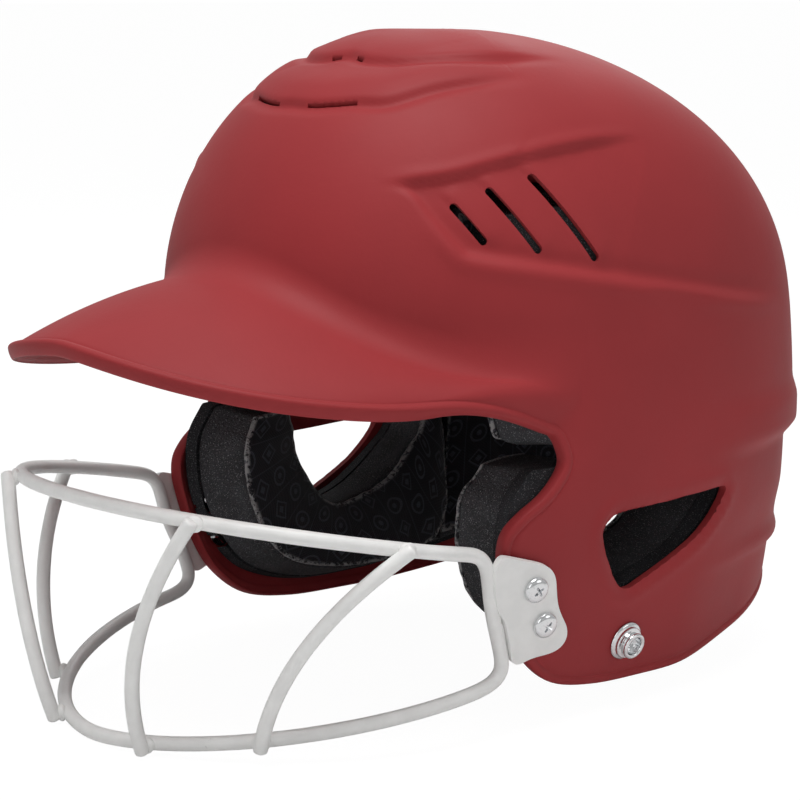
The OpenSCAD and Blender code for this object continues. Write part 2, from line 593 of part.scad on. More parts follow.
// Side wire, from the upper corner down to the lower one, in the frame of the plate
side_places = [[-15.6, 21.6, -0.4], [-17.4, 12, 0.1], [-18, 3.5, 0], [-18.3, -4.5, 0], [-19.2, -13, 0.7]];
side_wire = [for (p = side_places) seat_point(p)];
upper_end = [upper_corner.x + 0.4, upper_corner.y - bend, upper_z(upper_corner.y - bend)];
upper_steps = 15;
lower_steps = 16;
loop_half = concat(
    [for (i = [0:upper_steps]) upper_bar(90 * i / upper_steps)],
    [for (i = [0:4]) bezier(upper_end, upper_corner, side_wire[0], i / 4)],
    [for (i = [1:4]) side_wire[i]],
    [for (i = [1:4]) bezier(side_wire[4], lower_corner, lower_bar(88), i / 4)],
    [for (i = [1:lower_steps]) lower_bar(88 * (1 - i / lower_steps))]);
loop_path = concat(loop_half, [for (i = [len(loop_half) - 2:-1:1]) mirrored(loop_half[i])]);

// Rings round a path; the frame turns with the direction that leads away from the middle of the guard
function wire_ring(p, along, radius = wire / 2) =
    let (away = unit([p.x, p.y - guard_centre.y, 0]), n = unit(cross(along, away)), m = cross(along, n))
    [for (k = [0:wire_sides - 1]) let (a = 360 * k / wire_sides) p + radius * (cos(a) * n + sin(a) * m)];
function path_rings(path, closed = false) = let (n = len(path))
    [for (i = [0:n - 1])
        let (a = closed ? path[(i + n - 1) % n] : path[max(i - 1, 0)],
            b = closed ? path[(i + 1) % n] : path[min(i + 1, n - 1)])
        wire_ring(path[i], unit(b - a))];
module guard_loop() color(coat_white) ring_solid(path_rings(loop_path, true), true);

// An upright bar is welded outside both bars of the loop and runs a little past them
weld_gap = 0.1;
overrun_top = 1.5;
overrun_bottom = 2.6;
bar_steps = 14;
function outside(bar_point, before, after) =
    let (d = after - before, side = unit([-d.y, d.x, 0]), away = bar_point - guard_centre)
    bar_point + (wire + weld_gap) * (side * away > 0 ? side : -side);
function bar_path(t, bottom_x, bulge) =
    let (b = arc_angle(bottom_x, lower_half, lower_power),
        from = outside(upper_bar(t), upper_bar(t - 1), upper_bar(t + 1)) + [0, 0, overrun_top],
        to = outside(lower_bar(b), lower_bar(b - 1), lower_bar(b + 1)) - [0, 0, overrun_bottom])
    [for (i = [0:bar_steps]) bezier(from, (from + to) / 2 + bulge, to, i / bar_steps)];
inner_bulge = [-12.5, -14.2, -3];
outer_bulge = [-5.4, -19.8, 4];
inner_top = arc_angle(inner_bar_top, upper_half, upper_power);
outer_top = setback_angle(outer_bar_setback);
module guard_bar_inner_left() color(coat_white)
    ring_solid(path_rings(bar_path(inner_top, inner_bar_bottom, inner_bulge)));
module guard_bar_outer_left() color(coat_white)
    ring_solid(path_rings(bar_path(outer_top, outer_bar_bottom, outer_bulge)));

// Mounting plates, their front edge along the side wire
plate_lift = 0.5;
plate_top = plate_lift + plate_thickness;
plate_front = wire / 2 + weld_gap;
plate_outline = [[-18.8 + plate_front, -13.6], [-18.3 + plate_front, -4.5], [-18 + plate_front, 3.5],
    [-17.4 + plate_front, 12], [-15.6 + plate_front, 21.6], [-14.6 + plate_front, 25.4], [-10.6, 28],
    [-8.6, 27.2], [-3.4, 23], [4, 16.8], [6.4, 13.6], [7.3, 9.6], [6.5, 4.6], [5.8, 0.2], [5.8, -3.8],
    [6.5, -8.6], [6.9, -11.8], [5.6, -15.8], [2.6, -17.6], [-1.4, -17.6], [-8.7, -15.4]];
module guard_plate_left() color(coat_white) difference() {
    on_seat([0, 0], plate_lift) linear_extrude(plate_thickness) polygon(plate_outline);
    screw_holes();
}

// Screws with domed heads and cross recesses, and flanged nuts inside the flap
head_height = 2.6;
nut_height = 4;
nut_flange = 1.2;
nut_across = 8;
seat_clearance = 0.35;
nut_depth = wall + seat_clearance + max([for (p = screw_row) each
    seat_sag(p, nut_flange_d / 2, seat_origin, seat_normal, seat_x, seat_y)]);
recess_length = 4.6;
recess_width = 1.1;
recess_depth = 1.6;
screw_tip = nut_depth + nut_height + 0.5;
thread_gap = 0.05;
module dome(d, h) {
    rim = 0.6;
    rotate_extrude() polygon(concat([[0, 0], [d / 2, 0]],
        [for (i = [0:5]) [d / 2 * pow(cos(15 * i), 0.6), rim + (h - rim) * sin(15 * i)]], [[0, h]]));
}
module guard_screws_left() color(chrome) for (p = screw_row) on_seat(p) difference() {
    union() {
        translate([0, 0, -screw_tip]) cylinder(d = screw_d, h = screw_tip + plate_top + 0.5);
        translate([0, 0, plate_top]) dome(screw_head_d, head_height);
    }
    for (turn = [0, 90]) rotate([0, 0, turn + 20]) translate([0, 0, plate_top + head_height])
        cube([recess_length, recess_width, 2 * recess_depth], center = true);
}
module guard_nuts_left() color(chrome) for (p = screw_row) on_seat(p, -nut_depth - nut_height) difference() {
    union() {
        cylinder(d = nut_across / cos(30), h = nut_height, $fn = 6);
        translate([0, 0, nut_height - nut_flange]) cylinder(d = nut_flange_d, h = nut_flange);
    }
    translate([0, 0, -1]) cylinder(d = screw_d + 2 * thread_gap, h = nut_height + 2);
}

// Press stud for a chin strap, and the rivet that holds it from inside
stud_lift = 0.2;
flange_height = 1.2;
collar_height = 1.2;
collar_d = 11.8;
socket_d = 6.6;
socket_depth = 3.2;
rivet_head_d = 10;
rivet_head = 1;
rivet_reach = 1.6;
module strap_stud_left() color(chrome) on_shell(stud_place, stud_lift) difference() {
    union() {
        cylinder(d = stud_flange_d, h = flange_height);
        cylinder(d = collar_d, h = flange_height + collar_height);
        cylinder(d = stud_ring_d, h = flange_height + collar_height + stud_ring_length);
    }
    translate([0, 0, flange_height + collar_height + stud_ring_length - socket_depth])
        cylinder(d = socket_d, h = socket_depth + 1);
    translate([0, 0, -1]) cylinder(d = rivet_d + 2 * thread_gap, h = 1 + rivet_reach + thread_gap);
}
stud_angle = angle_at(stud_place.x, stud_place.y);
stud_normal = bowl_normal(stud_angle, stud_place.y);
stud_level = unit(cross([0, 0, 1], stud_normal));
rivet_depth = wall + seat_clearance + rivet_head + max(seat_sag([0, 0], rivet_head_d / 2,
    bowl(stud_angle, stud_place.y), stud_normal, stud_level, cross(stud_normal, stud_level)));
module stud_rivet_left() color(chrome) on_shell(stud_place, -rivet_depth) {
    cylinder(d = rivet_head_d, h = rivet_head);
    cylinder(d = rivet_d, h = rivet_depth + stud_lift + rivet_reach);
}

module mirror_x() mirror([1, 0, 0]) children();
module temple_pad_right() mirror_x() temple_pad_left();
module temple_cover_right() mirror_x() temple_cover_left();
module ear_liner_right() mirror_x() ear_liner_left();
module ear_pad_right() mirror_x() ear_pad_left();
module ear_cover_right() mirror_x() ear_cover_left();
module guard_bar_inner_right() mirror_x() guard_bar_inner_left();
module guard_bar_outer_right() mirror_x() guard_bar_outer_left();
module guard_plate_right() mirror_x() guard_plate_left();
module guard_screws_right() mirror_x() guard_screws_left();
module guard_nuts_right() mirror_x() guard_nuts_left();
module strap_stud_right() mirror_x() strap_stud_left();
module stud_rivet_right() mirror_x() stud_rivet_left();

shell();
brow_liner();
brow_pad();
brow_cover();
crown_pad();
crown_cover();
rear_liner();
rear_pad();
rear_cover();
temple_pad_left();
temple_pad_right();
temple_cover_left();
temple_cover_right();
ear_liner_left();
ear_liner_right();
ear_pad_left();
ear_pad_right();
ear_cover_left();
ear_cover_right();
guard_loop();
guard_bar_inner_left();
guard_bar_inner_right();
guard_bar_outer_left();
guard_bar_outer_right();
guard_plate_left();
guard_plate_right();
guard_screws_left();
guard_screws_right();
guard_nuts_left();
guard_nuts_right();
strap_stud_left();
strap_stud_right();
stud_rivet_left();
stud_rivet_right();
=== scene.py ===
"""Batting helmet with a wire face guard: moulded shell, padding, guard, fasteners and stage."""
import math

import bmesh
import bpy
import numpy as np
from mathutils import Matrix, Vector, kdtree


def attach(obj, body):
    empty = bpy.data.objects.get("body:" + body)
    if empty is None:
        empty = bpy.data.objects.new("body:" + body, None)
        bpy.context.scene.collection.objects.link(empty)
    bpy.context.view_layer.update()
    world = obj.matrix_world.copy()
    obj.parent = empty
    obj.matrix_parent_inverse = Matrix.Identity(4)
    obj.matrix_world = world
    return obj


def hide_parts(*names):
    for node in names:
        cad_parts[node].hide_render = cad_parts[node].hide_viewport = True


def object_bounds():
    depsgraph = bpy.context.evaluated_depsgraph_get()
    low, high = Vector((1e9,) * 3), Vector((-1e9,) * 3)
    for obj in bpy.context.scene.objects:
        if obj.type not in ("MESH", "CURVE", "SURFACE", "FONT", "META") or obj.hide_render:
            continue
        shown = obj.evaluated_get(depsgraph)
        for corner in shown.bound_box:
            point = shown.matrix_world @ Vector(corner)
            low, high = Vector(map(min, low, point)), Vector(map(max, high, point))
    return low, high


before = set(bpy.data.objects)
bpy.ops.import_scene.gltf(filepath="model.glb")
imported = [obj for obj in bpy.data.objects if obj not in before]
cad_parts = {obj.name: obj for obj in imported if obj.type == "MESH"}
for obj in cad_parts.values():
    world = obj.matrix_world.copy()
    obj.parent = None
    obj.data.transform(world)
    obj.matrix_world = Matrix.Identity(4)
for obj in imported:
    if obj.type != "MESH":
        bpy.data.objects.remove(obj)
CAD_BOX = [list(corner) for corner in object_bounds()]

bl_info = {
    "name": "Batting helmet with face guard",
    "version": (1, 0, 0),
    "blender": (4, 5, 0),
    "location": "View3D > Sidebar > Helmet",
    "description": "Builds the looks of a batting helmet around its CAD frame",
    "category": "Object",
}

# Sizes are in millimetres, and are turned into metres when a mesh is made.
# Angles round the head are in degrees: -90 is the front, 0 the left side, 90 the back.
MM = 0.001
HALF_WIDTH, FRONT, REAR, CROWN, FORWARD, REAR_POWER = 101.0, 121.5, 125.5, 96.5, 18.0, 2.39
FLAP_DEPTH, FLAP_START, NAPE_DEPTH, TUCK, FULLEST_REAR = 132.5, 55.0, 104.0, 14.5, -40.0
WALL, LIP, LIP_WIDTH = 3.5, 4.8, 4.5
BILL_TIP, BILL_HALF, BILL_DROP, BILL_SIDE, BILL_ARCH, BILL_HINGE, BILL_POWER = 190.0, 97.0, 3.5, 22.0, 3.0, 55.0, 2.3
ROOT_END = -23.0


# Vectors and curves
def unit(v):
    """Vectors brought to length 1."""
    return v / np.maximum(np.linalg.norm(v, axis=-1, keepdims=True), 1e-9)


def ease(a, b, v):
    """0 where v is at a and 1 where it is at b, smooth between and level beyond."""
    t = np.clip((np.asarray(v, float) - a) / (b - a), 0, 1)
    return t * t * (3 - 2 * t)


def ridge(v, middle, width):
    """1 where v is at the middle, falling away smoothly on both sides."""
    return np.exp(-((v - middle) / width) ** 2)


def lerp(a, b, t):
    """The value a share t of the way from a to b."""
    return a + (b - a) * t


def spline(stations, u):
    """Points of the smooth curve through the stations, u counting stations from 0."""
    st = np.asarray(stations, float)
    last = len(st) - 1
    u = np.asarray(u, float)
    i = np.clip(np.floor(u).astype(int), 0, last - 1)
    t = (u - i)[..., None]
    full = np.vstack([2 * st[0] - st[1], st, 2 * st[-1] - st[-2]])
    a, b, c, d = (full[i + k] for k in range(4))
    return 0.5 * (2 * b + (c - a) * t + (2 * a - 5 * b + 4 * c - d) * t ** 2 + (3 * b - a - 3 * c + d) * t ** 3)


def closed_curve(points, count):
    """Points of the smooth closed curve through the points."""
    p = np.asarray(points, float)
    return spline(np.vstack([p[-1:], p, p[:2]]), np.linspace(1, len(p) + 1, count)[:-1])


def bezier(a, b, c, t):
    """Points of the curve from a to c that leans towards b."""
    return a * (1 - t) ** 2 + b * 2 * t * (1 - t) + c * t * t


def resample(path, step, closed=False):
    """The path again, with points a step apart."""
    p = np.vstack([path, path[:1]]) if closed else np.asarray(path, float)
    along = np.concatenate([[0], np.cumsum(np.linalg.norm(np.diff(p, axis=0), axis=1))])
    count = max(8, int(round(along[-1] / step)))
    at = np.linspace(0, along[-1], count + 1)
    out = np.stack([np.interp(at, along, p[:, k]) for k in range(p.shape[1])], 1)
    return out[:-1] if closed else out


def smoothed(path, rounds, closed=False):
    """The path with its corners softened."""
    p = path.copy()
    for _ in range(rounds):
        q = (np.roll(p, 1, 0) + 2 * p + np.roll(p, -1, 0)) / 4
        if not closed:
            q[0], q[-1] = p[0], p[-1]
        p = q
    return p


# Surface of the bowl
def down(z):
    """Share of the way down the flaps, which tuck in ever faster."""
    return np.clip((-z - FLAP_START) / (FLAP_DEPTH - FLAP_START), 0, 1.2) ** 1.8


def rise(z):
    """Share of the way up the dome."""
    return np.clip(z / CROWN, 0, 1)


def ahead(z):
    """How far the middle of the dome lies in front of the origin."""
    return FORWARD * rise(z) ** 2.5


def half_width(z):
    return HALF_WIDTH * (1 - rise(z) ** 2.2) ** (1 / 2.26) - TUCK * down(z)


def front_reach(z):
    return FRONT * (1 - rise(z) ** 1.91) ** (1 / 2.04) - 4 * down(z)


def rear_reach(z):
    return REAR * np.sqrt(1 - np.clip((z - FULLEST_REAR) / (CROWN - FULLEST_REAR), 0, 1) ** 2.08)


def front_power(z):
    """How square the plan is in front: round at the brow, squarer at the cheeks."""
    return lerp(2.17, 3.35, ease(0, -68, z))


def rear_inset(z):
    """Depth of the steps that are moulded across the back."""
    return (5 * ease(-49, -57, z) - 2 * ease(-33, -42, z) + 1.2 * ease(-72, -86, z)
            - 1.5 * ease(-88, -93.7, z) + 2.6 * ease(-94.5, -99, z))


def padding_inset(z):
    """The same depth in one slope, which the padding follows."""
    return 3.3 * ease(-20, -57, z) + 2.2 * ease(-57, -100, z)


def bowl(a, z, inset=rear_inset):
    """Points of the outer face at angles and heights."""
    a, z = np.broadcast_arrays(np.asarray(a, float), np.asarray(z, float))
    s, c = np.sin(np.radians(a)), np.cos(np.radians(a))
    front = s < 0
    reach = np.maximum(1e-3, np.where(front, front_reach(z), rear_reach(z)))
    wide = np.maximum(1e-3, half_width(z))
    n = np.where(front, front_power(z), REAR_POWER)
    r = ((np.abs(c) / wide) ** n + (np.abs(s) / reach) ** n) ** (-1 / n)
    r = r - inset(z) * ease(8, 38, np.where(a <= 90, a, 180 - a))
    return np.stack([r * c, r * s - ahead(z), z], -1)


def bowl_normal(a, z, inset=rear_inset):
    """Directions straight out of the outer face."""
    a, z = np.broadcast_arrays(np.asarray(a, float), np.asarray(z, float))
    h = np.minimum(z, CROWN - 0.6)
    return unit(np.cross(bowl(a + 0.3, h, inset) - bowl(a - 0.3, h, inset),
                         bowl(a, h + 0.3, inset) - bowl(a, h - 0.3, inset)))


def under(a, z, depth):
    """Points of the padding, which passes over the steps at the back in one slope."""
    return bowl(a, z, padding_inset) - np.asarray(depth)[..., None] * bowl_normal(a, z, padding_inset)


def angle_at(y, z):
    """Angle of the place on the left side with this y and height."""
    v = y + ahead(z)
    reach = np.where(v < 0, front_reach(z), rear_reach(z))
    n = np.where(v < 0, front_power(z), REAR_POWER)
    return np.degrees(np.arctan2(v, half_width(z) * (1 - (np.abs(v) / reach) ** n) ** (1 / n)))


def side(places):
    """Angles and heights of places on the left side that are given as y and z."""
    p = np.asarray(places, float)
    return np.stack([angle_at(p[:, 0], p[:, 1]), p[:, 1]], 1)


def on_bowl(places):
    """Points on the left side of the bowl at places given as y and z."""
    p = side(places)
    return bowl(p[:, 0], p[:, 1])


# Edge and meridians of the shell
def bill_edge(p):
    """Points of the bill's edge, from its tip at 0 degrees to its root at 90."""
    s, c = np.sin(np.radians(p)), np.maximum(0, np.cos(np.radians(p)))
    return np.stack([BILL_HALF * s ** (2 / BILL_POWER), -BILL_HINGE - (BILL_TIP - BILL_HINGE) * c ** (2 / BILL_POWER),
                     -BILL_DROP - BILL_SIDE * s ** 1.3 - 12 * np.maximum(0, (p - 70) / 20) ** 2.5], -1)


def nape_mix(t):
    """Height of the edge, from the flap's at 0 to the nape's at 1."""
    return lerp(-FLAP_DEPTH, -NAPE_DEPTH, t)


BILL_END = bill_edge(np.array(90.0))
EDGE_STATIONS = [
    [math.degrees(math.atan2(BILL_END[1], BILL_END[0])), BILL_END[2], ROOT_END],
    [-28.4, -42, -22.8], [-27.9, -46.5, -22.2], [-29.2, -51.5, -21.2], [-32, -57.3, -19.8],
    [-35.6, -62.5, -18.2], [-38.3, -68.3, -16.4], [-39.3, -75.5, -14.4], [-38.9, -85, -12.2],
    [-37.5, -100.5, -9.2], [-34.6, -115.5, -6], [-27.9, -127, -2], [-16.2, -131.5, 3], [0, -132.5, 9],
    [15.6, -132.2, 16], [32, nape_mix(0.13), 27], [44, nape_mix(0.28), 38], [57, nape_mix(0.52), 52],
    [72, nape_mix(0.84), 70], [90, -NAPE_DEPTH, 90]]


def root_z(a):
    """Height at which the bill and the flaps leave the dome."""
    return 15 - 33 * (1 - np.cos(np.pi * np.clip((a + 90) / 55, 0, 1))) / 2


def half_edge(bill_columns, flap_columns):
    """Edge points of the left half with the angle, height, root angle and sheet share of each."""
    p = 90 * np.linspace(0, 1, bill_columns + 1)
    e = bill_edge(p)
    bill = np.column_stack([e, np.degrees(np.arctan2(e[:, 1], e[:, 0])), e[:, 2], lerp(-90, ROOT_END, p / 90),
                            1 - ease(62, 90, p)])
    s = spline(EDGE_STATIONS, (len(EDGE_STATIONS) - 1) * np.linspace(0, 1, flap_columns + 1)[1:])
    flap = np.column_stack([bowl(s[:, 0], s[:, 1]), s, np.zeros(len(s))])
    return np.vstack([bill, flap])


def lower_path(root_a, root, end, end_a, end_z, sheet, w):
    """Points from the root to the edge, down the bowl on the flaps and along an arched sheet on the bill."""
    w = w[..., None]
    drawn = (bowl(lerp(root_a, end_a, w[..., 0] ** 2.8), lerp(root[..., 2], end_z, w[..., 0]))
             + w ** 1.5 * (end - bowl(end_a, end_z)))
    arched = lerp(root, end, w)
    arched[..., 2] += (4 * BILL_ARCH * w * (1 - w))[..., 0]
    return lerp(drawn, arched, np.broadcast_to(sheet, w[..., 0].shape)[..., None])


def shell_grid(bill_columns, flap_columns, upper_rows, fillet_rows, lower_rows):
    """Rows of outer points down each meridian of the left half, with the edge's own directions."""
    edge = half_edge(bill_columns, flap_columns)
    pts, a, z, root_a, sheet = edge[:, :3], edge[:, 3], edge[:, 4], edge[:, 5], edge[:, 6]
    tangent = np.vstack([[[1, 0, 0]], unit(pts[2:] - pts[:-2]), [[-1, 0, 0]]])
    rz = root_z(root_a)
    root = bowl(root_a, rz)
    v = pts - root
    along_sheet = unit(v - (v * tangent).sum(1)[:, None] * tangent)
    out = unit(lerp(unit(np.cross(tangent, bowl_normal(a, z))), along_sheet, sheet[:, None]))
    start = pts - LIP_WIDTH * out
    start_a = np.degrees(np.arctan2(start[:, 1], start[:, 0]))
    zt = rz + 11
    above = bowl(root_a, zt)
    blend = np.minimum(0.5, 13 / np.linalg.norm(start - root, axis=1))
    args = (root_a, root, start, start_a, start[:, 2], sheet)
    below = lower_path(*args, blend)
    turns = np.pi / 2 * np.arange(1, upper_rows + 1) / upper_rows
    rows = [bowl(root_a, zt + (CROWN - zt) * math.cos(turn)) for turn in turns]
    rows += [bezier(above, root, below, k / (fillet_rows + 1)) for k in range(1, fillet_rows + 1)]
    rows += [lower_path(*args, lerp(blend, 1, k / lower_rows)) for k in range(lower_rows + 1)]
    return np.stack(rows), pts, out, unit(np.cross(tangent, out))


# Moulded relief of the outer face
FAR_OFF = 99.0


def in_parts(mask):
    """Places where the mask holds, a few thousand at a time, to keep the tables of distances small."""
    places = np.flatnonzero(mask)
    return np.array_split(places, max(1, len(places) // 4000))


class Edge:
    """A line on the left side of the shell, to measure how far points lie above or below it."""

    def __init__(self, points):
        last = len(points) - 1
        self.line = resample(spline(points, np.linspace(0, last, 40 * last)), 1.5)
        self.run = unit(np.gradient(self.line, axis=0))
        self.share = np.linspace(0, 1, len(self.line))

    def measure(self, p, n):
        """Distance, positive above the line and FAR_OFF away from it, and the share of the line that is passed."""
        signed, share = np.full(len(p), FAR_OFF), np.zeros(len(p))
        low, high = self.line.min(0) - 30, self.line.max(0) + 30
        for part in in_parts(((p > low) & (p < high)).all(1)):
            d = p[part][:, None] - self.line[None]
            k = np.argmin((d ** 2).sum(2), 1)
            off = p[part] - self.line[k]
            up = unit(np.cross(n[part], self.run[k]))
            flat = off - (off * n[part]).sum(1)[:, None] * n[part]
            across = (flat * up).sum(1)
            inner = (k > 0) & (k < len(self.line) - 1)
            signed[part] = np.where(inner, across, np.sign(across) * np.linalg.norm(flat, axis=1))
            share[part] = self.share[k]
        return signed, share


# Lines given as points, and places on the left side given as y and z
RECESS_TOP = Edge([(50, -97, 46.6), (58.6, -87.1, 47.4), (67.7, -75.9, 49.4), (73.8, -64.1, 52.6),
                   (78.3, -50.7, 55.6), (82.1, -30.1, 58.8), (83.4, -11.5, 59.9), (83.6, 4, 60)])
RECESS_LOW = Edge([(50, -97, 47), (59.4, -87.8, 45.3), (68.2, -84.4, 36.4), (75.7, -79.6, 27.2), (79.6, -75.2, 23.9),
                   (91.9, -51.7, 19.3), (99.1, -22.1, 13.9), (100.5, 15.4, 7.5), (98, 45, 2.6), (86.8, 73.5, -1.3)])
HUMP_LOW = Edge([(-16, -88.5, 72), (-6, -89, 72), (8, -89, 71.4), (18, -87, 72), (28, -83, 73), (36, -79, 73),
                 (41, -74, 74.7), (47, -63, 78), (53, -50.5, 80), (56.6, -39.7, 81), (59, -28, 81)])
HUMP_HIGH = Edge([(-12, -61.5, 89.2), (0, -62.6, 88.8), (11, -64.6, 87.6), (24, -61.4, 87), (34, -54.5, 87),
                  (41.6, -46, 87), (46.5, -37, 87), (49, -28.6, 87), (51, -10, 86), (51, 2, 85)])
EAR_HOLE = [(28.6, -65.2), (14.7, -65.6), (0.3, -66.3), (-12.7, -66.7), (-21.4, -66.9), (-27.3, -67.6), (-31, -69.9),
            (-32.6, -73), (-32.1, -77), (-30.4, -81), (-27.6, -86.4), (-24.3, -91.5), (-22, -94.2), (-18.8, -95.9),
            (-14.8, -95.8), (-10.6, -94.2), (-2.3, -90.8), (6.4, -87), (15.2, -82.6), (20.6, -79), (24.9, -75.4),
            (28.2, -71.9), (30.9, -68.3), (31.2, -66.2)]
SLOTS = [([-78.4, 40.8], [-71.6, 27.8]), ([-66.7, 45.8], [-54.5, 24.5]), ([-51.7, 49.9], [-33.7, 21])]


def quarter_arc(t):
    """A rounded flank: steep at 0, level from 1 on."""
    return np.sqrt(1 - (1 - np.clip(t, 0, 1)) ** 2)


def recess_relief(p, n, depth):
    """The panel sunk behind the temple, open to the rear, with a soft lip along its two lines."""
    top, at_top = RECESS_TOP.measure(p, n)
    low, at_low = RECESS_LOW.measure(p, n)
    near = low < FAR_OFF
    above = ease(-2.6, 1.8, low) * near * ease(0.0, 0.08, at_low) * ease(1.0, 0.78, at_low)
    panel = above * ease(1.2, -1.4, top) * ease(0.0, 0.16, at_top) * ease(1.0, 0.7, at_top)
    run_out = 0.85 * above * ease(52, 6, low) * ease(0.12, 0.45, at_low)
    low_lip = (ridge(low, -4, 2.8) - 0.7 * ridge(low, 3, 2.4)) * near * ease(0.1, 0.2, at_low) * ease(1.0, 0.8, at_low)
    top_lip = ridge(top, 2.4, 2.2) * ease(0.02, 0.16, at_top) * ease(1.0, 0.7, at_top)
    return depth * (0.3 * low_lip + 0.25 * top_lip - np.maximum(panel, run_out))


def hump_relief(p, n, height):
    """The two humps over the forehead, each crisp in front and rounded behind, fading to the rear."""
    first, at_first = HUMP_LOW.measure(p, n)
    tongue = (0.9 * ease(-1.4, 3, first) - ease(-6.5, -0.4, first) + 0.6 * quarter_arc(first / 14)
              - 1.3 * ease(8, 26, first))
    low = 0.54 * tongue * ease(-2, -42, p[:, 1]) * ease(1.0, 0.7, at_first) * (first < FAR_OFF)
    second, at_second = HUMP_HIGH.measure(p, n)
    tongue = 0.45 * ease(-1.4, 3, second) - 0.35 * ease(-6, -0.4, second) + 0.65 * quarter_arc(second / 17)
    high = tongue * ease(4, -34, p[:, 1]) * ease(1.0, 0.6, at_second) * (second < FAR_OFF)
    return height * (low + high)


def ear_rim_relief(p, height):
    """The rolled rim round the ear hole, which turns in at the cut."""
    h = np.zeros(len(p))
    ring = resample(closed_curve(on_bowl(EAR_HOLE), 400), 0.8, True)
    for part in in_parts(((p > [60, -60, -115]) & (p < [200, 60, -45])).all(1)):
        d = np.sqrt(((p[part][:, None] - ring[None]) ** 2).sum(2).min(1))
        h[part] = height * ridge(d, 3.6, 2.2) - 1.2 * ease(3.6, 0, d)
    return h


def slot_relief(p, n):
    """A step behind each side vent that fades to the rear, and a slight dip along the vent."""
    h = np.zeros(len(p))
    for start, end in (on_bowl(slot) for slot in SLOTS):
        run = end - start
        reach = np.linalg.norm(run)
        run = run / reach
        off = p - start
        t = off @ run
        flat = off - t[:, None] * run
        flat -= (flat * n).sum(1)[:, None] * n
        d = np.sign(flat[:, 1] + 0.4 * flat[:, 2]) * np.linalg.norm(flat, axis=1)
        near = ease(-7, -2, t) * ease(reach + 4, reach - 2, t) * (np.abs(d) < 20)
        h += near * (0.75 * ease(-0.8, 0.8, d) * ease(12, 1, d) - 0.25 * ease(3.2, 0, np.abs(d)))
    return h


def relief(p, n, s):
    """Height of the moulded detail over the bowl at points p of the left side, in millimetres."""
    h = (recess_relief(p, n, s.recess_depth / MM) + hump_relief(p, n, s.hump_height / MM)
         + ear_rim_relief(p, s.rim_height / MM) + slot_relief(p, n))
    # It levels off softly just under the top of the CAD box
    room = (CAD_BOX[1][2] / MM - 0.1 - p[:, 2]) / np.maximum(n[:, 2], 0.2)
    return h - 0.35 * np.logaddexp(0, (h - room) / 0.35)


# The lip in section: shares of its width in from the edge, and depths under the outer face
LIP_PROFILE = np.array([(1.0, 0), (0.93, -0.16), (0.84, -0.12), (0.74, 0.22), (0.6, 0.52), (0.44, 0.62), (0.28, 0.46),
                        (0.16, 0.06), (0.08, -0.8), (0.03, -LIP / 2), (0.05, 0.7 - LIP), (0.13, 0.05 - LIP),
                        (0.26, 0.4 - LIP), (0.5, 0.5 - LIP), (0.8, 0.85 - LIP), (1.0, -WALL)])


def grid_normals(g):
    """Outward normals of a grid of rows down and columns round, the columns closed."""
    across = np.roll(g, -1, 1) - np.roll(g, 1, 1)
    drop = np.gradient(g, axis=0)
    return unit(np.cross(drop, across))


# Meshes
def linked(name, data):
    """A new object with this data, put in the scene."""
    obj = bpy.data.objects.new(name, data)
    bpy.context.scene.collection.objects.link(obj)
    return obj


def new_object(name, verts, faces, smooth=True):
    """An object from points in millimetres."""
    mesh = bpy.data.meshes.new(name)
    mesh.from_pydata([tuple(v) for v in np.asarray(verts) * MM], [], faces)
    mesh.validate()
    if smooth:
        mesh.shade_smooth()
    return linked(name, mesh)


def mirrored_copy(obj, name):
    """The same piece on the right side."""
    mesh = obj.data.copy()
    mesh.transform(Matrix.Diagonal((-1, 1, 1, 1)))
    mesh.flip_normals()
    return linked(name, mesh)


def select_only(*objects):
    bpy.ops.object.select_all(action="DESELECT")
    for obj in objects:
        obj.select_set(True)
    bpy.context.view_layer.objects.active = objects[0]


def join(*objects):
    """Makes the objects one, the first."""
    select_only(*objects)
    bpy.ops.object.join()


def smooth_by_angle(obj, degrees):
    select_only(obj)
    bpy.ops.object.shade_smooth_by_angle(angle=math.radians(degrees))


def apply_modifier(obj, modifier):
    select_only(obj)
    bpy.ops.object.modifier_apply(modifier=modifier.name)


def face_outwards(obj):
    """Turns a closed mesh right side out."""
    bm = bmesh.new()
    bm.from_mesh(obj.data)
    if bm.calc_volume(signed=True) < 0:
        bmesh.ops.reverse_faces(bm, faces=bm.faces)
    bm.to_mesh(obj.data)
    bm.free()


def subtract(obj, cutters):
    """Cuts the cutters, which don't touch each other, out of the object and deletes them."""
    for cutter in cutters:
        face_outwards(cutter)
    join(*cutters)
    cut = obj.modifiers.new("cut", "BOOLEAN")
    cut.operation, cut.object, cut.solver = "DIFFERENCE", cutters[0], "MANIFOLD"
    apply_modifier(obj, cut)
    bpy.data.objects.remove(cutters[0])


def belt(low, high, count):
    """Faces between two rings of equal count that start at these vertices."""
    return [(low + k, low + (k + 1) % count, high + (k + 1) % count, high + k) for k in range(count)]


def belts(turns, count, closed=False):
    """Faces over rings of equal count, one after the other."""
    pairs = [(i, (i + 1) % turns) for i in range(turns if closed else turns - 1)]
    return [face for i, j in pairs for face in belt(i * count, j * count, count)]


def fan(tip, ring, count, turned_round=False):
    """Faces from a tip to the ring that starts at this vertex."""
    pairs = [(ring + k, ring + (k + 1) % count) for k in range(count)]
    return [(tip, *(pair[::-1] if turned_round else pair)) for pair in pairs]


def loft(name, rings):
    """A closed solid over rings of equal count, its two ends flat."""
    turns, count = rings.shape[:2]
    ends = [[*range(count)][::-1], [*range((turns - 1) * count, turns * count)]]
    return new_object(name, rings.reshape(-1, 3), ends + belts(turns, count), smooth=False)


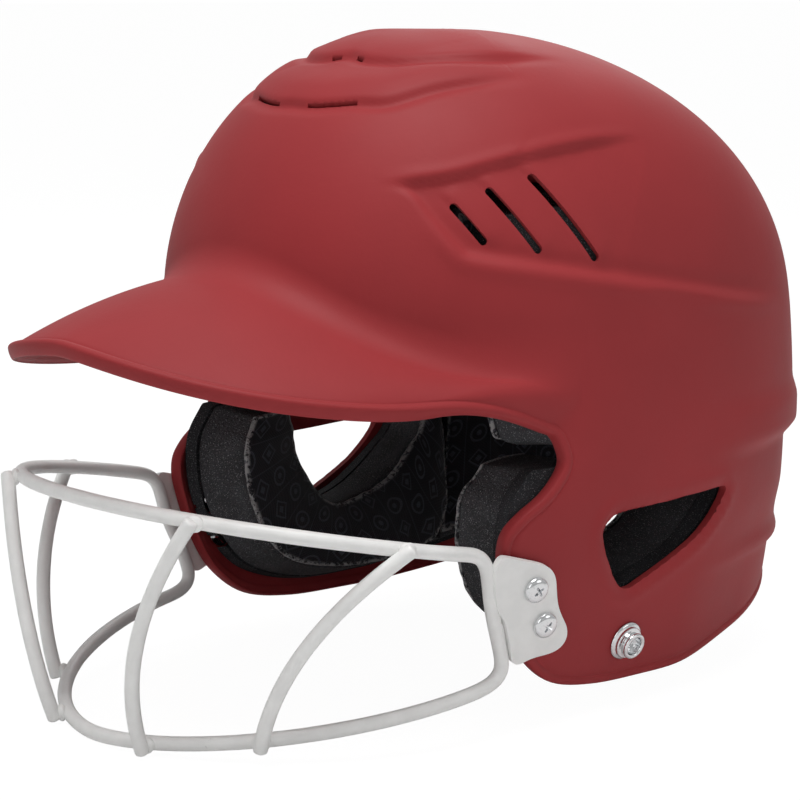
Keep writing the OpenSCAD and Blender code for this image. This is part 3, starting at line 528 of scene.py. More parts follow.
def prism(outline, low, high, place):
    """A closed prism over an outline in x and y, between two heights, put at a place by a 4x4 matrix."""
    rings = np.stack([np.column_stack([outline, np.full(len(outline), z)]) for z in (low, high)])
    return loft("cutter", rings @ place[:3, :3].T + place[:3, 3])


def frame_matrix(origin, x, z):
    """A 4x4 matrix that puts things at an origin with their x and z this way."""
    m = np.eye(4)
    m[:3, 0], m[:3, 1], m[:3, 2], m[:3, 3] = x, np.cross(z, x), z, origin
    return m


def slot_outline(reach, wide, steps=8):
    """Outline of a slot along x from 0 to its reach, with round ends."""
    t = np.radians(np.linspace(90, 270, steps + 1))
    left = np.column_stack([wide / 2 + wide / 2 * np.cos(t), wide / 2 * np.sin(t)])
    return np.vstack([left, [reach, 0] - left])


# Shell. The front vents lie in the creases under the humps, between their lowest and highest x
VENT_WIDTH, VENT_DEPTH = 2.8, 9
FRONT_VENTS = ((HUMP_LOW, 6.5, 28), (HUMP_HIGH, 3, 10))
FRONT_VENT_SECTION = ((-0.4, -14), (-0.4, 5), (0.8, 5), (0.8, -14))
# Columns along the bill and along the flap; rows above, round and below the root of the bill
SHELL_GRID = (88, 124, 122, 12, 44)
SHELL_CREASE, BACKING_CREASE, FOAM_CREASE, PLATE_CREASE, METAL_CREASE = 58, 40, 50, 35, 32


def shell_cutters():
    """What is cut out of the shell: the ear holes, the side vents and the front vents."""
    sideways = np.eye(4)
    sideways[:3, :3] = [[0, 0, 1], [1, 0, 0], [0, 1, 0]]
    cutters = [prism(closed_curve(EAR_HOLE, 97), 60, 130, sideways)]
    for slot in SLOTS:
        p, q = on_bowl(slot)
        y, z = np.mean(slot, axis=0)
        n = bowl_normal(angle_at(y, z), z)
        x = unit((q - p) - ((q - p) @ n) * n)
        cutters.append(prism(slot_outline(float(np.linalg.norm(q - p)), VENT_WIDTH), -VENT_DEPTH, VENT_DEPTH,
                             frame_matrix(p, x, n)))
    for edge, low, high in FRONT_VENTS:
        inside = (edge.line[:, 0] > low) & (edge.line[:, 0] < high)
        p, run = edge.line[inside], edge.run[inside]
        n = bowl_normal(np.degrees(np.arctan2(p[:, 1] + ahead(p[:, 2]), p[:, 0])), p[:, 2])
        up = unit(np.cross(n, run))
        cutters.append(loft("cutter", np.stack([p + a * up + b * n for a, b in FRONT_VENT_SECTION], 1)))
    return cutters + [mirrored_copy(cutter, "cutter") for cutter in cutters]


def ring_columns(count, radius):
    """Of how many columns a row keeps one, so that its faces stay about as wide as they are tall."""
    share = 1
    while radius * 2 * math.pi / (count / share) < 0.85 and share < 8 and count % (share * 2) == 0:
        share *= 2
    return share


def skin(rows, shares, tips):
    """Points and faces of a closed skin over rows, of which each keeps one point in so many, and its two tips."""
    verts = [row[::share] for row, share in zip(rows, shares)]
    start = np.concatenate([[0], np.cumsum([len(v) for v in verts])]).tolist()
    faces = []
    for k in range(len(rows) - 1):
        here, there, count, next_count = start[k], start[k + 1], len(verts[k]), len(verts[k + 1])
        if shares[k] >= shares[k + 1]:
            m = shares[k] // shares[k + 1]
            for i in range(count):
                low = [there + (i * m + t) % next_count for t in range(m + 1)]
                faces.append((here + i, *low, here + (i + 1) % count))
        else:
            m = shares[k + 1] // shares[k]
            for i in range(next_count):
                high = [here + (i * m + t) % count for t in range(m, -1, -1)]
                faces.append((there + i, there + (i + 1) % next_count, *high))
    faces += fan(start[-1], 0, len(verts[0])) + fan(start[-1] + 1, start[-2], len(verts[-1]), True)
    return np.vstack([*verts, tips]), faces


def build_shell(s):
    """The shell: its outer face with the relief, its rolled lip and its inner face, and all that is cut out."""
    coarse = 1
    half, edge, out, normal = shell_grid(*(count // coarse for count in SHELL_GRID))
    flip = np.array([-1.0, 1, 1])

    def around(a):
        return np.concatenate([a, a[:, -2:0:-1] * flip], 1)

    base = around(half)
    normals = grid_normals(base)
    to_left = np.where(base[..., :1] < 0, flip, 1.0)
    height = relief((base * to_left).reshape(-1, 3), (normals * to_left).reshape(-1, 3), s).reshape(base.shape[:2])
    outer = base + height[..., None] * normals
    profile = spline(LIP_PROFILE, np.linspace(0, len(LIP_PROFILE) - 1, 31))[1:-1]
    lip = around(np.stack([edge - c[0] * LIP_WIDTH * out - c[1] * normal for c in profile]))
    inner = (base - WALL * normals)[::-2]
    rows = np.concatenate([outer, lip, inner])
    inner_from = len(outer) + len(lip)
    radii = np.linalg.norm(rows[:, :, :2] - rows[:, :, :2].mean(1, keepdims=True), axis=2).mean(1)
    shares = [max(2 if k >= inner_from else 1, ring_columns(rows.shape[1], r)) for k, r in enumerate(radii)]
    top = np.array([0, -FORWARD, CROWN])
    verts, faces = skin(rows, shares, [top, top - [0, 0, WALL]])
    low_corner, high_corner = (np.array(corner) / MM for corner in CAD_BOX)
    shell = new_object("shell_moulded", np.clip(verts, low_corner, high_corner), faces)
    subtract(shell, shell_cutters())
    smooth_by_angle(shell, SHELL_CREASE)
    finish_piece(shell, "shell", ("shell",), shell_paint(s))


# Padding: layers along the inside of the shell, each between two lines given as angle and height
def finish_piece(obj, slot, nodes, material, fill=None):
    """Gives a piece its material and its body, and hides the CAD nodes that it stands for; its slot is not used."""
    obj.data.materials.clear()
    obj.data.materials.append(material)
    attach(obj, "root")
    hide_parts(*nodes)


def finish_pair(obj, name, slot, node, material, fill=None):
    """Finishes a left piece and its mirror image on the right."""
    obj.name = name + "_left"
    finish_piece(mirrored_copy(obj, name + "_right"), slot, (node + "_right",), material, fill)
    finish_piece(obj, slot, (node + "_left",), material, fill)


def wobble(p, scale, seed=0.0):
    """Smooth uneven heights from -1 to 1 over points given in millimetres."""
    q = p / scale
    return (np.sin(2.1 * q[..., 0] + 1.3 * np.sin(1.7 * q[..., 1] + seed)) + np.sin(1.9 * q[..., 1] + 2.2 * seed
            + 1.1 * np.sin(1.3 * q[..., 2])) + np.sin(2.3 * q[..., 2] + 0.7 * seed + np.sin(1.1 * q[..., 0]))) / 3


# Depths of the layers under the outer face, and places of their lines
LINER_DEPTH, TEMPLE_DEPTH, EAR_DEPTH, REAR_DEPTH = 4.3, 4.9, 5.2, 5.2
DENSE, GAP, CROWNING, FABRIC, CLOTH_BACK = 6.0, 0.5, 3.0, 1.4, 0.25
EAR_OUTER = side([[-62, -48.5], [-70, -59], [-72.5, -72], [-71, -86], [-64.5, -101], [-52.5, -115], [-36, -122.5],
                  [-18, -126], [2, -126.5], [20, -125.5], [38, -120], [47.5, -105], [49, -85], [48.5, -67],
                  [47, -48.5]])
EAR_INNER = side([[-38, -48.5], [-37.5, -57], [-37, -65], [-35.5, -73], [-32, -81], [-28.5, -88], [-24, -94],
                  [-18, -96.5], [-8, -94.5], [4, -90.5], [16, -84], [26, -77], [34, -69.5], [36, -60], [36, -48.5]])
TEMPLE_LOW = np.array([[-36, -10], [-32.5, -22], [-29.5, -32], [-26.5, -42], [-15, -46], [0, -46.5], [15, -46.5],
                       [29, -45.5]], float)
TEMPLE_HIGH = np.array([[-37, 38], [-33, 40], [-28, 41], [-20, 41], [-10, 41], [3, 41], [17, 40], [30, 38]], float)
STEPS = np.linspace(-1, 1, 9)
BROW_LOW = np.stack([-90 + 42 * STEPS, 7 - 8 * STEPS ** 2], 1)
BROW_HIGH = np.stack([-90 + 42 * STEPS, np.full(9, 50.0)], 1)
REAR_LOW = np.stack([90 + 62 * STEPS, 6 - NAPE_DEPTH - 24 * np.abs(STEPS) ** 1.25], 1)
REAR_HIGH = np.stack([90 + 54 * STEPS, np.full(9, 34.0)], 1)


class Pad:
    """The measures that the pieces of one cushion share."""

    def __init__(self, first, second, base, thick, dip=0.0, lean=0.0, columns=120, dense=True):
        self.first, self.second, self.base, self.lean = first, second, base, lean
        self.soft = base + (DENSE + GAP if dense else 0)
        self.thick, self.dip = thick, dip
        self.columns = columns

    def grid(self, section, base, draw=0.1):
        """Points of a closed section, in shares of the way across and depths, swept along the layer."""
        u = np.linspace(0, 1, self.columns + 1)
        last = len(self.first) - 1
        a, b = spline(self.first, u * last), spline(self.second, u * last)
        full = 1 - draw * (1 - ease(0, 0.1, u) * ease(1, 0.9, u))
        q = a[:, None] + (b - a)[:, None] * section[None, :, :1]
        extra = (section[:, 1] - base)[None] * full[:, None]
        p = under(q[..., 0], q[..., 1], base + extra)
        p[..., 1] -= self.lean * extra * ease(-15, -45, p[..., 1])
        return p

    def face(self, share):
        """Depth of the face of the cushion across it, its crown and its sewn channel included."""
        swell = CROWNING * (1 - np.abs(2 * share - 1) ** 2.4) - self.dip * ridge(share, 0.5, 0.075)
        return self.soft + self.thick + swell

    def cushion(self):
        """Section of the foam block: its flat back, a side, its face and the other side."""
        rim = np.array([[0.988, 0.0], [0.98, 0.3], [0.978, 0.6], [0.982, 0.88], [0.978, 0.965], [0.962, 0.995]])
        rim[:, 1] = self.soft + rim[:, 1] * self.thick
        across, flat = np.linspace(0.945, 0.055, 35), np.linspace(0.012, 0.988, 14)[:-1]
        return np.vstack([np.column_stack([flat, np.full(len(flat), self.soft)]), rim,
                          np.column_stack([across, self.face(across)]), ([1, 0] + rim * [-1, 1])[:0:-1]])


def swept(name, grid, round_ends=0.8):
    """A closed solid from sections of equal count; its ends are drawn in a little and rounded."""
    out_first, out_last = unit(grid[0].mean(0) - grid[1].mean(0)), unit(grid[-1].mean(0) - grid[-2].mean(0))
    body = grid.copy()
    body[0] -= out_first * round_ends
    body[-1] -= out_last * round_ends

    def cap(ring, out):
        middle = ring.mean(0)
        span = np.linalg.norm(ring - middle, axis=1).max()
        shares = [(1 - 0.35 * round_ends / span, 0.5), (1 - 1.3 * round_ends / span, 0.9), (0.6, 1.0), (0.25, 1.0)]
        return [middle + (ring - middle) * share + out * round_ends * by for share, by in shares]

    rings = np.stack([*cap(body[0], out_first)[::-1], *body, *cap(body[-1], out_last)])
    turns, count = rings.shape[:2]
    total = turns * count
    faces = belts(turns, count) + fan(total, 0, count, True) + fan(total + 1, total - count, count)
    obj = new_object(name, np.vstack([rings.reshape(-1, 3), [rings[0].mean(0), rings[-1].mean(0)]]), faces)
    face_outwards(obj)
    return obj


def points_of(obj):
    return np.array([v.co for v in obj.data.vertices])


def lay_cloth(obj, coords, rim):
    """A UV map in metres along the cloth, and an attribute that is 1 on its cut rim."""
    layer = obj.data.uv_layers.new(name="cloth")
    loops = np.empty(len(obj.data.loops), int)
    obj.data.loops.foreach_get("vertex_index", loops)
    layer.data.foreach_set("uv", coords[loops].ravel())
    attribute = obj.data.attributes.new("rim", "FLOAT", "POINT")
    attribute.data.foreach_set("value", rim)


def cloth_on_sheet(obj, grid, section):
    """Lays the cloth along a swept sheet, whose points are matched with the grid's."""
    along = np.concatenate([[0], np.cumsum(np.linalg.norm(np.diff(grid[:, len(section) // 4], axis=0), axis=1))])
    rim = np.minimum(section[:, 0] - section[:, 0].min(), section[:, 0].max() - section[:, 0])
    steps = np.linalg.norm(np.diff(grid, axis=1), axis=2)
    across = np.concatenate([np.zeros((len(grid), 1)), np.cumsum(steps, axis=1)], 1)
    half = len(section) // 2
    across[:, half:] = across[:, half - 1:half] - (across[:, half:] - across[:, half:half + 1])
    flat = grid.reshape(-1, 3)
    tree = kdtree.KDTree(len(flat))
    for k, q in enumerate(flat):
        tree.insert(q, k)
    tree.balance()
    near = np.array([tree.find(q)[1] for q in points_of(obj) / MM])
    i, k = near // len(section), near % len(section)
    width = across[:, :half].max(1)
    rims = np.minimum(rim[k] * width[i], np.minimum(along[i], along[-1] - along[i]))
    lay_cloth(obj, np.stack([along[i], across[i, k]], 1) * MM, ease(1.5, 0.2, rims))


def cover_grid(pad, creases=()):
    """The fabric face of a cushion: its outer skin, then its back, with soft creases and an uneven rim."""
    face = np.linspace(0.965, 0.035, 47)
    top = np.column_stack([face, pad.face(face) + GAP + FABRIC])
    back = np.column_stack([face[::-1], pad.face(face[::-1]) + CLOTH_BACK])
    section = np.vstack([top, back])
    grid = pad.grid(section, pad.soft)
    towards = unit(pad.grid(section + [0, 1.0], pad.soft) - grid)
    n = len(face)
    u, v = np.linspace(0, 1, len(grid))[:, None], face[None]
    height = 0.28 * wobble(grid[:, :n], 17, 1.0) + 0.12 * wobble(grid[:, :n], 6, 3.0)
    for centre, slant, width, deep in creases:
        height -= deep * ridge(u, centre + slant * (v - 0.5), width) * ease(0.0, 0.12, v) * ease(1.0, 0.88, v)
    height *= ease(0.035, 0.1, v) * ease(0.965, 0.9, v) * ease(0, 0.03, u) * ease(1, 0.97, u)
    grid[:, :n] += towards[:, :n] * height[..., None]
    ragged = 0.35 * wobble(grid, 2.3, 5.0) * (np.abs(section[:, 0] - 0.5) > 0.44)
    run = unit(grid[:, n - 1:n] - grid[:, :1])
    grid += run * (ragged * np.sign(0.5 - section[:, 0]))[..., None]
    return grid, section


def build_pad(name, pad, nodes, materials, creases=(), pair=False, liner=None):
    """The soft block, its fabric face and its dense backing, on one side or on both."""
    soft_foam, dense_foam, cloth = materials
    block = swept(name + "_foam", pad.grid(pad.cushion(), pad.soft))
    smooth_by_angle(block, FOAM_CREASE)
    grid, section = cover_grid(pad, creases)
    cover = swept(name + "_fabric", grid, 0.25)
    cloth_on_sheet(cover, grid, section)
    pieces = [(block, "soft_foam", nodes[0], soft_foam, 0.9), (cover, "liner_fabric", nodes[1], cloth, 0.3)]
    if liner:
        flat = np.linspace(0, 1, 24)
        slab = np.vstack([np.column_stack([flat, np.full(24, pad.base)]),
                          np.column_stack([flat[::-1], np.full(24, pad.base + DENSE)])])
        backing = swept(name + "_backing", pad.grid(slab, pad.base, 0), 0.5)
        if pair:
            subtract(backing, pocket_cutters())
        smooth_by_angle(backing, BACKING_CREASE)
        pieces.append((backing, "dense_foam", liner, dense_foam, 1.0))
    for obj, slot, node, material, fill in pieces:
        if pair:
            finish_pair(obj, obj.name, slot, node, material, fill)
        else:
            finish_piece(obj, slot, (node,), material, fill)


CROWN_AROUND, CROWN_THICK = 96, 15.0
CROWN_EDGE, CROWN_MIDDLE = 63, 95.5
CROWN_CLOTH_CENTRE, CROWN_CLOTH_REACH = (0, -0.0096), (0.0625, 0.0692)


def build_crown_pad(materials):
    """The round cushion under the top of the dome and its fabric disc, built in rings."""
    soft_foam, _, cloth = materials
    around = 360 * np.arange(CROWN_AROUND) / CROWN_AROUND
    face = LINER_DEPTH + CROWN_THICK

    def rings(profile):
        return np.stack([under(around, np.full(CROWN_AROUND, lerp(CROWN_EDGE, CROWN_MIDDLE, 1 - share)), depth)
                         for share, depth in profile])

    def swell(share):
        return face + CROWNING * (1 - share ** 2.2)

    low = [(share, LINER_DEPTH) for share in np.linspace(0.02, 0.96, 10)]
    rim = [(0.965, LINER_DEPTH + 4), (0.96, LINER_DEPTH + 9), (0.945, LINER_DEPTH + 13.4), (0.92, face - 0.3)]
    top = [(share, swell(share)) for share in np.linspace(0.88, 0.02, 14)]
    block = swept("crown_foam", rings(low + rim + top)[::-1], 0.05)
    smooth_by_angle(block, FOAM_CREASE)
    spread = np.linspace(0.02, 0.87, 16)
    grid = rings([(share, swell(share) + CLOTH_BACK) for share in spread]
                 + [(share, swell(share) + GAP + FABRIC) for share in spread[::-1]])
    outer = grid[len(spread):]
    outer += (0.25 * wobble(outer, 15, 2.0))[..., None] * unit(np.array([0, -FORWARD, 0]) - outer)
    cover = swept("crown_fabric", grid, 0.02)
    flat = points_of(cover)[:, :2]
    reach = np.linalg.norm((flat - CROWN_CLOTH_CENTRE) / CROWN_CLOTH_REACH, axis=1)
    lay_cloth(cover, flat, ease(0.972, 0.995, reach))
    finish_piece(block, "soft_foam", ("crown_pad",), soft_foam, 0.9)
    finish_piece(cover, "liner_fabric", ("crown_cover",), cloth, 0.3)


# Face guard. The seat of its plate has +Z out of the flap, +Y up along the flap's front edge and +X to the rear
SEAT_PLACE, SEAT_LEAN = (-58.4, -96.2), 22.7
SCREW_ROW, SCREW_TURNS = [(-1.3, -5.3), (-1.3, 9.7)], (34, 12)
STUD_PLACE = (-13.6, -116.2)
POCKET_DEPTH, NUT_POCKET, RIVET_POCKET = 14, 6.5, 6
PLATE_BACK, PLATE_FACE, SCREW_HOLE = 0.5, 3.0, 2.75
PLATE_OUTLINE = [[-16.2, -13.6], [-15.7, -4.5], [-15.4, 3.5], [-16.6, 9], [-16.6, 14], [-14.8, 21.6], [-13.4, 25.6],
                 [-10.6, 28], [-8.6, 27.2], [-3.4, 23], [4, 16.8], [6.4, 13.6], [7.3, 9.6], [6.5, 4.6], [5.8, 0.2],
                 [5.8, -3.8], [6.5, -8.6], [6.9, -11.8], [5.6, -15.8], [2.6, -17.6], [-1.4, -17.6], [-8.7, -15.4]]


def flap_place(y, z):
    """Point on the left flap and the direction out of it."""
    a = float(angle_at(y, z))
    return bowl(a, z), bowl_normal(a, z)


def seat_frame():
    origin, n = flap_place(*SEAT_PLACE)
    turn, lean = math.atan2(n[1], n[0]), math.radians(SEAT_LEAN)
    level = np.array([-math.sin(turn), math.cos(turn), 0])
    return frame_matrix(origin, math.cos(lean) * level + math.sin(lean) * np.cross(n, level), n)


def stud_frame():
    origin, n = flap_place(*STUD_PLACE)
    return frame_matrix(origin, unit(np.cross([0, 0, 1.0], n)), n)


SEAT, STUD = seat_frame(), stud_frame()


def at_seat(places):
    """Points of the seat's frame, in the frame of the helmet."""
    return np.asarray(places, float) @ SEAT[:3, :3].T + SEAT[:3, 3]


def on_seat(x, y):
    """The seat's frame, moved to a place on the seat."""
    m = SEAT.copy()
    m[:3, 3] = at_seat([x, y, 0])
    return m


def circle(radius, steps=32):
    t = np.linspace(0, 2 * np.pi, steps, endpoint=False)
    return np.column_stack([radius * np.cos(t), radius * np.sin(t)])


def pocket_cutters():
    """Room in the foam for the nuts and the rivet."""
    places = [(NUT_POCKET, on_seat(x, y)) for x, y in SCREW_ROW] + [(RIVET_POCKET, STUD)]
    return [prism(circle(radius), -POCKET_DEPTH, POCKET_DEPTH, place) for radius, place in places]


# Bars of the guard: the y of their ends and of their tip, the height of the tip, and how square they are
UPPER_CORNER, LOWER_CORNER = at_seat([-13.2, 28.6, -1.4]), at_seat([-20.6, -18.6, 1.2])
UPPER_HALF, UPPER_BACK, UPPER_TIP, UPPER_Z, UPPER_POWER = UPPER_CORNER[0] + 2, -100.0, -181.0, -56.0, 2.15
LOWER_HALF, LOWER_BACK, LOWER_TIP, LOWER_Z, LOWER_POWER = LOWER_CORNER[0], -80.0, -177.0, -138.0, 1.75
GUARD_Y, WIRE_GAP, WIRE_SIDES = -80.0, 0.1, 24


def bow(p, half, back, tip, power):
    """Plan of a bar, from its tip at 0 degrees to its end at 90."""
    s, c = np.sin(np.radians(p)), np.maximum(0, np.cos(np.radians(p)))
    return half * s ** (2 / power), back + (tip - back) * c ** (2 / power)


def upper_z(y):
    return UPPER_Z + (UPPER_CORNER[2] - UPPER_Z) * np.maximum(0, (y - UPPER_TIP) / (UPPER_CORNER[1] - UPPER_TIP)) ** 1.1


def upper_bar(p):
    x, y = bow(p, UPPER_HALF, UPPER_BACK, UPPER_TIP, UPPER_POWER)
    return np.stack([x, y, upper_z(y)], -1)


def lower_bar(p):
    x, y = bow(p, LOWER_HALF, LOWER_BACK, LOWER_TIP, LOWER_POWER)
    return np.stack([x, y, lerp(LOWER_Z, LOWER_CORNER[2] - 1.4, (y - LOWER_TIP) / (LOWER_BACK - LOWER_TIP))], -1)


def loop_path():
    """The closed loop: the upper bar, down beside the plates, and the lower bar."""
    side_wire = at_seat([[-15.6, 21.6, -0.4], [-17.4, 12, 0.1], [-18, 3.5, 0], [-18.3, -4.5, 0], [-19.2, -13, 0.7]])
    bend_y = UPPER_CORNER[1] - 7
    upper_end = np.array([UPPER_CORNER[0] + 0.4, bend_y, float(upper_z(bend_y))])
    t = np.linspace(0, 1, 12)[:, None]
    half = np.vstack([upper_bar(np.linspace(0, 90, 80)), bezier(upper_end, UPPER_CORNER, side_wire[0], t),
                      spline(side_wire, np.linspace(0, 4, 25)[1:]),
                      bezier(side_wire[4], LOWER_CORNER, lower_bar(np.array(88.0)), t[1:]),
                      lower_bar(np.linspace(88, 0, 80)[1:])])
    whole = np.vstack([half, half[-2:0:-1] * [-1, 1, 1]])
    return smoothed(resample(whole, 1.3, True), 10, True)


def arc_angle(x, half, power):
    """Angle of the place on a bar that lies this far to the side."""
    return math.degrees(math.asin((x / half) ** (power / 2)))


# Upright bars: angle on the upper bar, x of the foot on the lower bar, bulge between them, seed of the welds
BARS = (("inner", arc_angle(51, UPPER_HALF, UPPER_POWER), 24, [-12.5, -14.2, -3], 1.0),
        ("outer", math.degrees(math.acos((19 / 81) ** (UPPER_POWER / 2))), 56, [-5.4, -19.8, 4], 2.0))
BEAD_SIZE = np.array([3.3, 3.0, 1.7])
WIRE_END, WIRE_TIP = ((0.45, 0.94), (0.8, 0.8), (1.0, 0.52)), 1.05


def outside(bar, angle, radius):
    """Where a second wire and its weld lie outside the bar at this angle, and the axes of the weld."""
    here, run = bar(np.array(angle)), unit(bar(np.array(angle + 1.0)) - bar(np.array(angle - 1.0)))
    way = unit(np.array([-run[1], run[0], 0]))
    way = way * np.sign(way @ (here - [0, GUARD_Y, 0]))
    axes = np.stack([run, np.cross(way, run), way])
    return here + (2 * radius + WIRE_GAP) * way, here + (radius + WIRE_GAP / 2) * way, axes


def tube_rings(path, radius, closed):
    run = unit(np.roll(path, -1, 0) - np.roll(path, 1, 0) if closed else np.gradient(path, axis=0))
    away = unit(np.column_stack([path[:, 0], path[:, 1] - GUARD_Y, np.zeros(len(path))]))
    n = unit(np.cross(run, away))
    m = np.cross(run, n)
    x, y = circle(1.0, WIRE_SIDES).T[..., None]
    return path[:, None] + radius[:, None, None] * (x * n[:, None] + y * m[:, None])


def wire(name, path, radius, closed=False):
    """A coated wire along a path, its cut ends rounded off."""
    rings = tube_rings(path, radius + 0.05 * wobble(path, 9.0, 4.0), closed)
    turns, count = rings.shape[:2]
    verts, faces = [*rings.reshape(-1, 3)], belts(turns, count, closed)
    for end, next_in in () if closed else ((0, 1), (turns - 1, turns - 2)):
        run, last = unit(path[end] - path[next_in]), end * count
        for out, share in WIRE_END:
            start = len(verts)
            verts += [*(path[end] + (rings[end] - path[end]) * share + run * out)]
            faces += belt(last, start, count) if end else belt(start, last, count)
            last = start
        verts.append(path[end] + run * WIRE_TIP)
        faces += fan(len(verts) - 1, last, count, not end)
    obj = new_object(name, verts, faces)
    face_outwards(obj)
    return obj


def bead(centre, axes, seed):
    """A weld bead under the coating: a soft uneven lump."""
    bpy.ops.mesh.primitive_uv_sphere_add(segments=28, ring_count=16, radius=1)
    obj = bpy.context.object
    for v in obj.data.vertices:
        q = centre + axes.T @ (np.array(v.co) * BEAD_SIZE)
        v.co = (q + unit(q - centre) * 0.22 * wobble(q, 1.5, seed)) * MM
    face_outwards(obj)
    obj.data.shade_smooth()
    return obj


def build_guard(s):
    """The wire loop, the four bars that are welded to it and the two plates."""
    radius = s.wire_diameter / MM / 2
    coat = guard_coat(s)
    finish_piece(wire("guard_loop_wire", loop_path(), radius, True), "guard_coat", ("guard_loop",), coat)
    for name, top, foot_x, bulge, seed in BARS:
        start, *upper_weld = outside(upper_bar, top, radius)
        end, *lower_weld = outside(lower_bar, arc_angle(foot_x, LOWER_HALF, LOWER_POWER), radius)
        start, end = start + [0, 0, 0.6], end - [0, 0, 1.6]
        path = bezier(start, (start + end) / 2 + bulge, end, np.linspace(0, 1, 90)[:, None])
        bar = wire(f"guard_{name}_wire", path, radius)
        join(bar, bead(*upper_weld, seed), bead(*lower_weld, seed + 3))
        finish_pair(bar, f"guard_{name}_wire", "guard_coat", f"guard_bar_{name}", coat)
    outline = smoothed(resample(closed_curve(PLATE_OUTLINE, 300), 0.8, True), 4, True)
    plate = prism(outline, PLATE_BACK, PLATE_FACE, SEAT)
    subtract(plate, [prism(circle(SCREW_HOLE), -8, 8, on_seat(x, y)) for x, y in SCREW_ROW])
    edge = plate.modifiers.new("edge", "BEVEL")
    edge.width, edge.segments, edge.limit_method, edge.angle_limit = 0.0008, 4, "ANGLE", math.radians(50)
    apply_modifier(plate, edge)
    face_outwards(plate)
    smooth_by_angle(plate, PLATE_CREASE)
    finish_pair(plate, "guard_plate_coated", "guard_coat", "guard_plate", coat)


# Fasteners, each turned from a profile given as radius and height
SCREW_THREAD = [(2.5 - 0.35 * (k % 2), -8.0 + 0.4 * k) for k in range(22)]
SCREW_DOME = [(4.7 * math.cos(t) ** 0.6, 3.55 + 2.0 * math.sin(t)) for t in np.radians([0, 12, 24, 36, 48, 60, 72, 82])]
SCREW_PROFILE = [(0, -8.5), (2.0, -8.5), *SCREW_THREAD, (2.5, 1.0), (2.5, 3.02), (4.45, 3.02), (4.62, 3.12),
                 (4.7, 3.3), *SCREW_DOME, (0, 5.6)]
CROSS = np.array([[2.3, 0.42], [0.62, 0.62], [0.42, 2.3], [-0.42, 2.3], [-0.62, 0.62], [-2.3, 0.42], [-2.3, -0.42],
                  [-0.62, -0.62], [-0.42, -2.3], [0.42, -2.3], [0.62, -0.62], [2.3, -0.42]])
CROSS_TAPER = ((0.45, 3.9), (1.1, 6.2))
STUD_PROFILE = [(0, 1.7), (2.05, 1.7), (2.05, 0.2), (6.9, 0.2), (7.15, 0.3), (7.2, 0.55), (7.05, 0.85), (6.7, 1.1),
                (6.2, 1.3), (5.95, 1.42), (5.9, 1.6), (5.88, 2.2), (5.7, 2.45), (5.3, 2.6), (4.7, 2.66), (4.42, 2.85),
                (4.35, 3.3), (4.42, 3.7), (4.72, 4.0), (4.88, 4.4), (4.88, 4.8), (4.7, 5.15), (4.4, 5.35), (4.1, 5.4),
                (3.8, 5.35), (3.5, 5.15), (3.32, 4.8), (3.28, 4.3), (3.25, 2.6), (3.05, 2.3), (2.6, 2.2), (1.75, 2.2),
                (1.62, 2.1), (1.6, 1.9), (0, 1.9)]


def lathe(name, profile, steps):
    """A solid turned from a profile."""
    mesh = bpy.data.meshes.new(name)
    mesh.from_pydata([(r * MM, 0, z * MM) for r, z in profile], [(k, k + 1) for k in range(len(profile) - 1)], [])
    obj = linked(name, mesh)
    select_only(obj)
    bpy.ops.object.mode_set(mode="EDIT")
    bpy.ops.mesh.select_all(action="SELECT")
    bpy.ops.mesh.spin(steps=steps, angle=2 * math.pi, center=(0, 0, 0), axis=(0, 0, 1))
    bpy.ops.mesh.select_all(action="SELECT")
    bpy.ops.mesh.remove_doubles(threshold=1e-6)
    bpy.ops.mesh.normals_make_consistent(inside=False)
    bpy.ops.object.mode_set(mode="OBJECT")
    face_outwards(obj)
    return obj


def placed(model, places):
    """Copies of a model at the places, made one piece; the model itself is deleted."""
    copies = []
    for place in places:
        in_metres = place.copy()
        in_metres[:3, 3] *= MM
        mesh = model.data.copy()
        mesh.transform(Matrix(in_metres.tolist()))
        copies.append(linked(model.name, mesh))
    join(*copies)
    bpy.data.objects.remove(model)
    smooth_by_angle(copies[0], METAL_CREASE)
    return copies[0]


def turned(degrees):
    c, s = math.cos(math.radians(degrees)), math.sin(math.radians(degrees))
    m = np.eye(4)
    m[:2, :2] = [[c, -s], [s, c]]
    return m


def build_screws(s):
    """The domed screws with their cross recesses."""
    screw = lathe("screw", SCREW_PROFILE, 56)
    rings = [np.column_stack([CROSS * share, np.full(len(CROSS), z)]) for share, z in CROSS_TAPER]
    subtract(screw, [loft("cross", np.stack(rings))])
    screws = placed(screw, [on_seat(x, y) @ turned(turn) for (x, y), turn in zip(SCREW_ROW, SCREW_TURNS)])
    finish_pair(screws, "guard_screws_domed", "fastener_steel", "guard_screws", bright_metal(s, "screw_steel"))


def build_studs(s):
    """The hollow studs, and finishes for the nuts and rivets, which stay as the frame has them."""
    stud = placed(lathe("stud", STUD_PROFILE, 64), [STUD])
    finish_pair(stud, "strap_stud_turned", "stud_nickel", "strap_stud", bright_metal(s, "turned_nickel"))
    for side_name in ("left", "right"):
        for node, finish in ((f"guard_nuts_{side_name}", "nut_steel"), (f"stud_rivet_{side_name}", "rivet_nickel")):
            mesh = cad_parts[node].data
            mesh.materials.clear()
            mesh.materials.append(bright_metal(s, finish))


# Finishes
class Value:
    """A shader socket that takes part in sums, so that sums read as they are written."""

    def __init__(self, nodes, socket):
        self.nodes, self.socket = nodes, socket

    def math(self, operation, *others):
        return self.nodes.math(operation, self, *others)

    def __add__(self, other):
        return self.math("ADD", other)

    def __sub__(self, other):
        return self.math("SUBTRACT", other)

    def __rsub__(self, other):
        return self.nodes.math("SUBTRACT", other, self)

    def __mul__(self, other):
        return self.math("MULTIPLY", other)

    def __truediv__(self, other):
        return self.math("DIVIDE", other)

    def __rtruediv__(self, other):
        return self.nodes.math("DIVIDE", other, self)

    __radd__, __rmul__ = __add__, __mul__


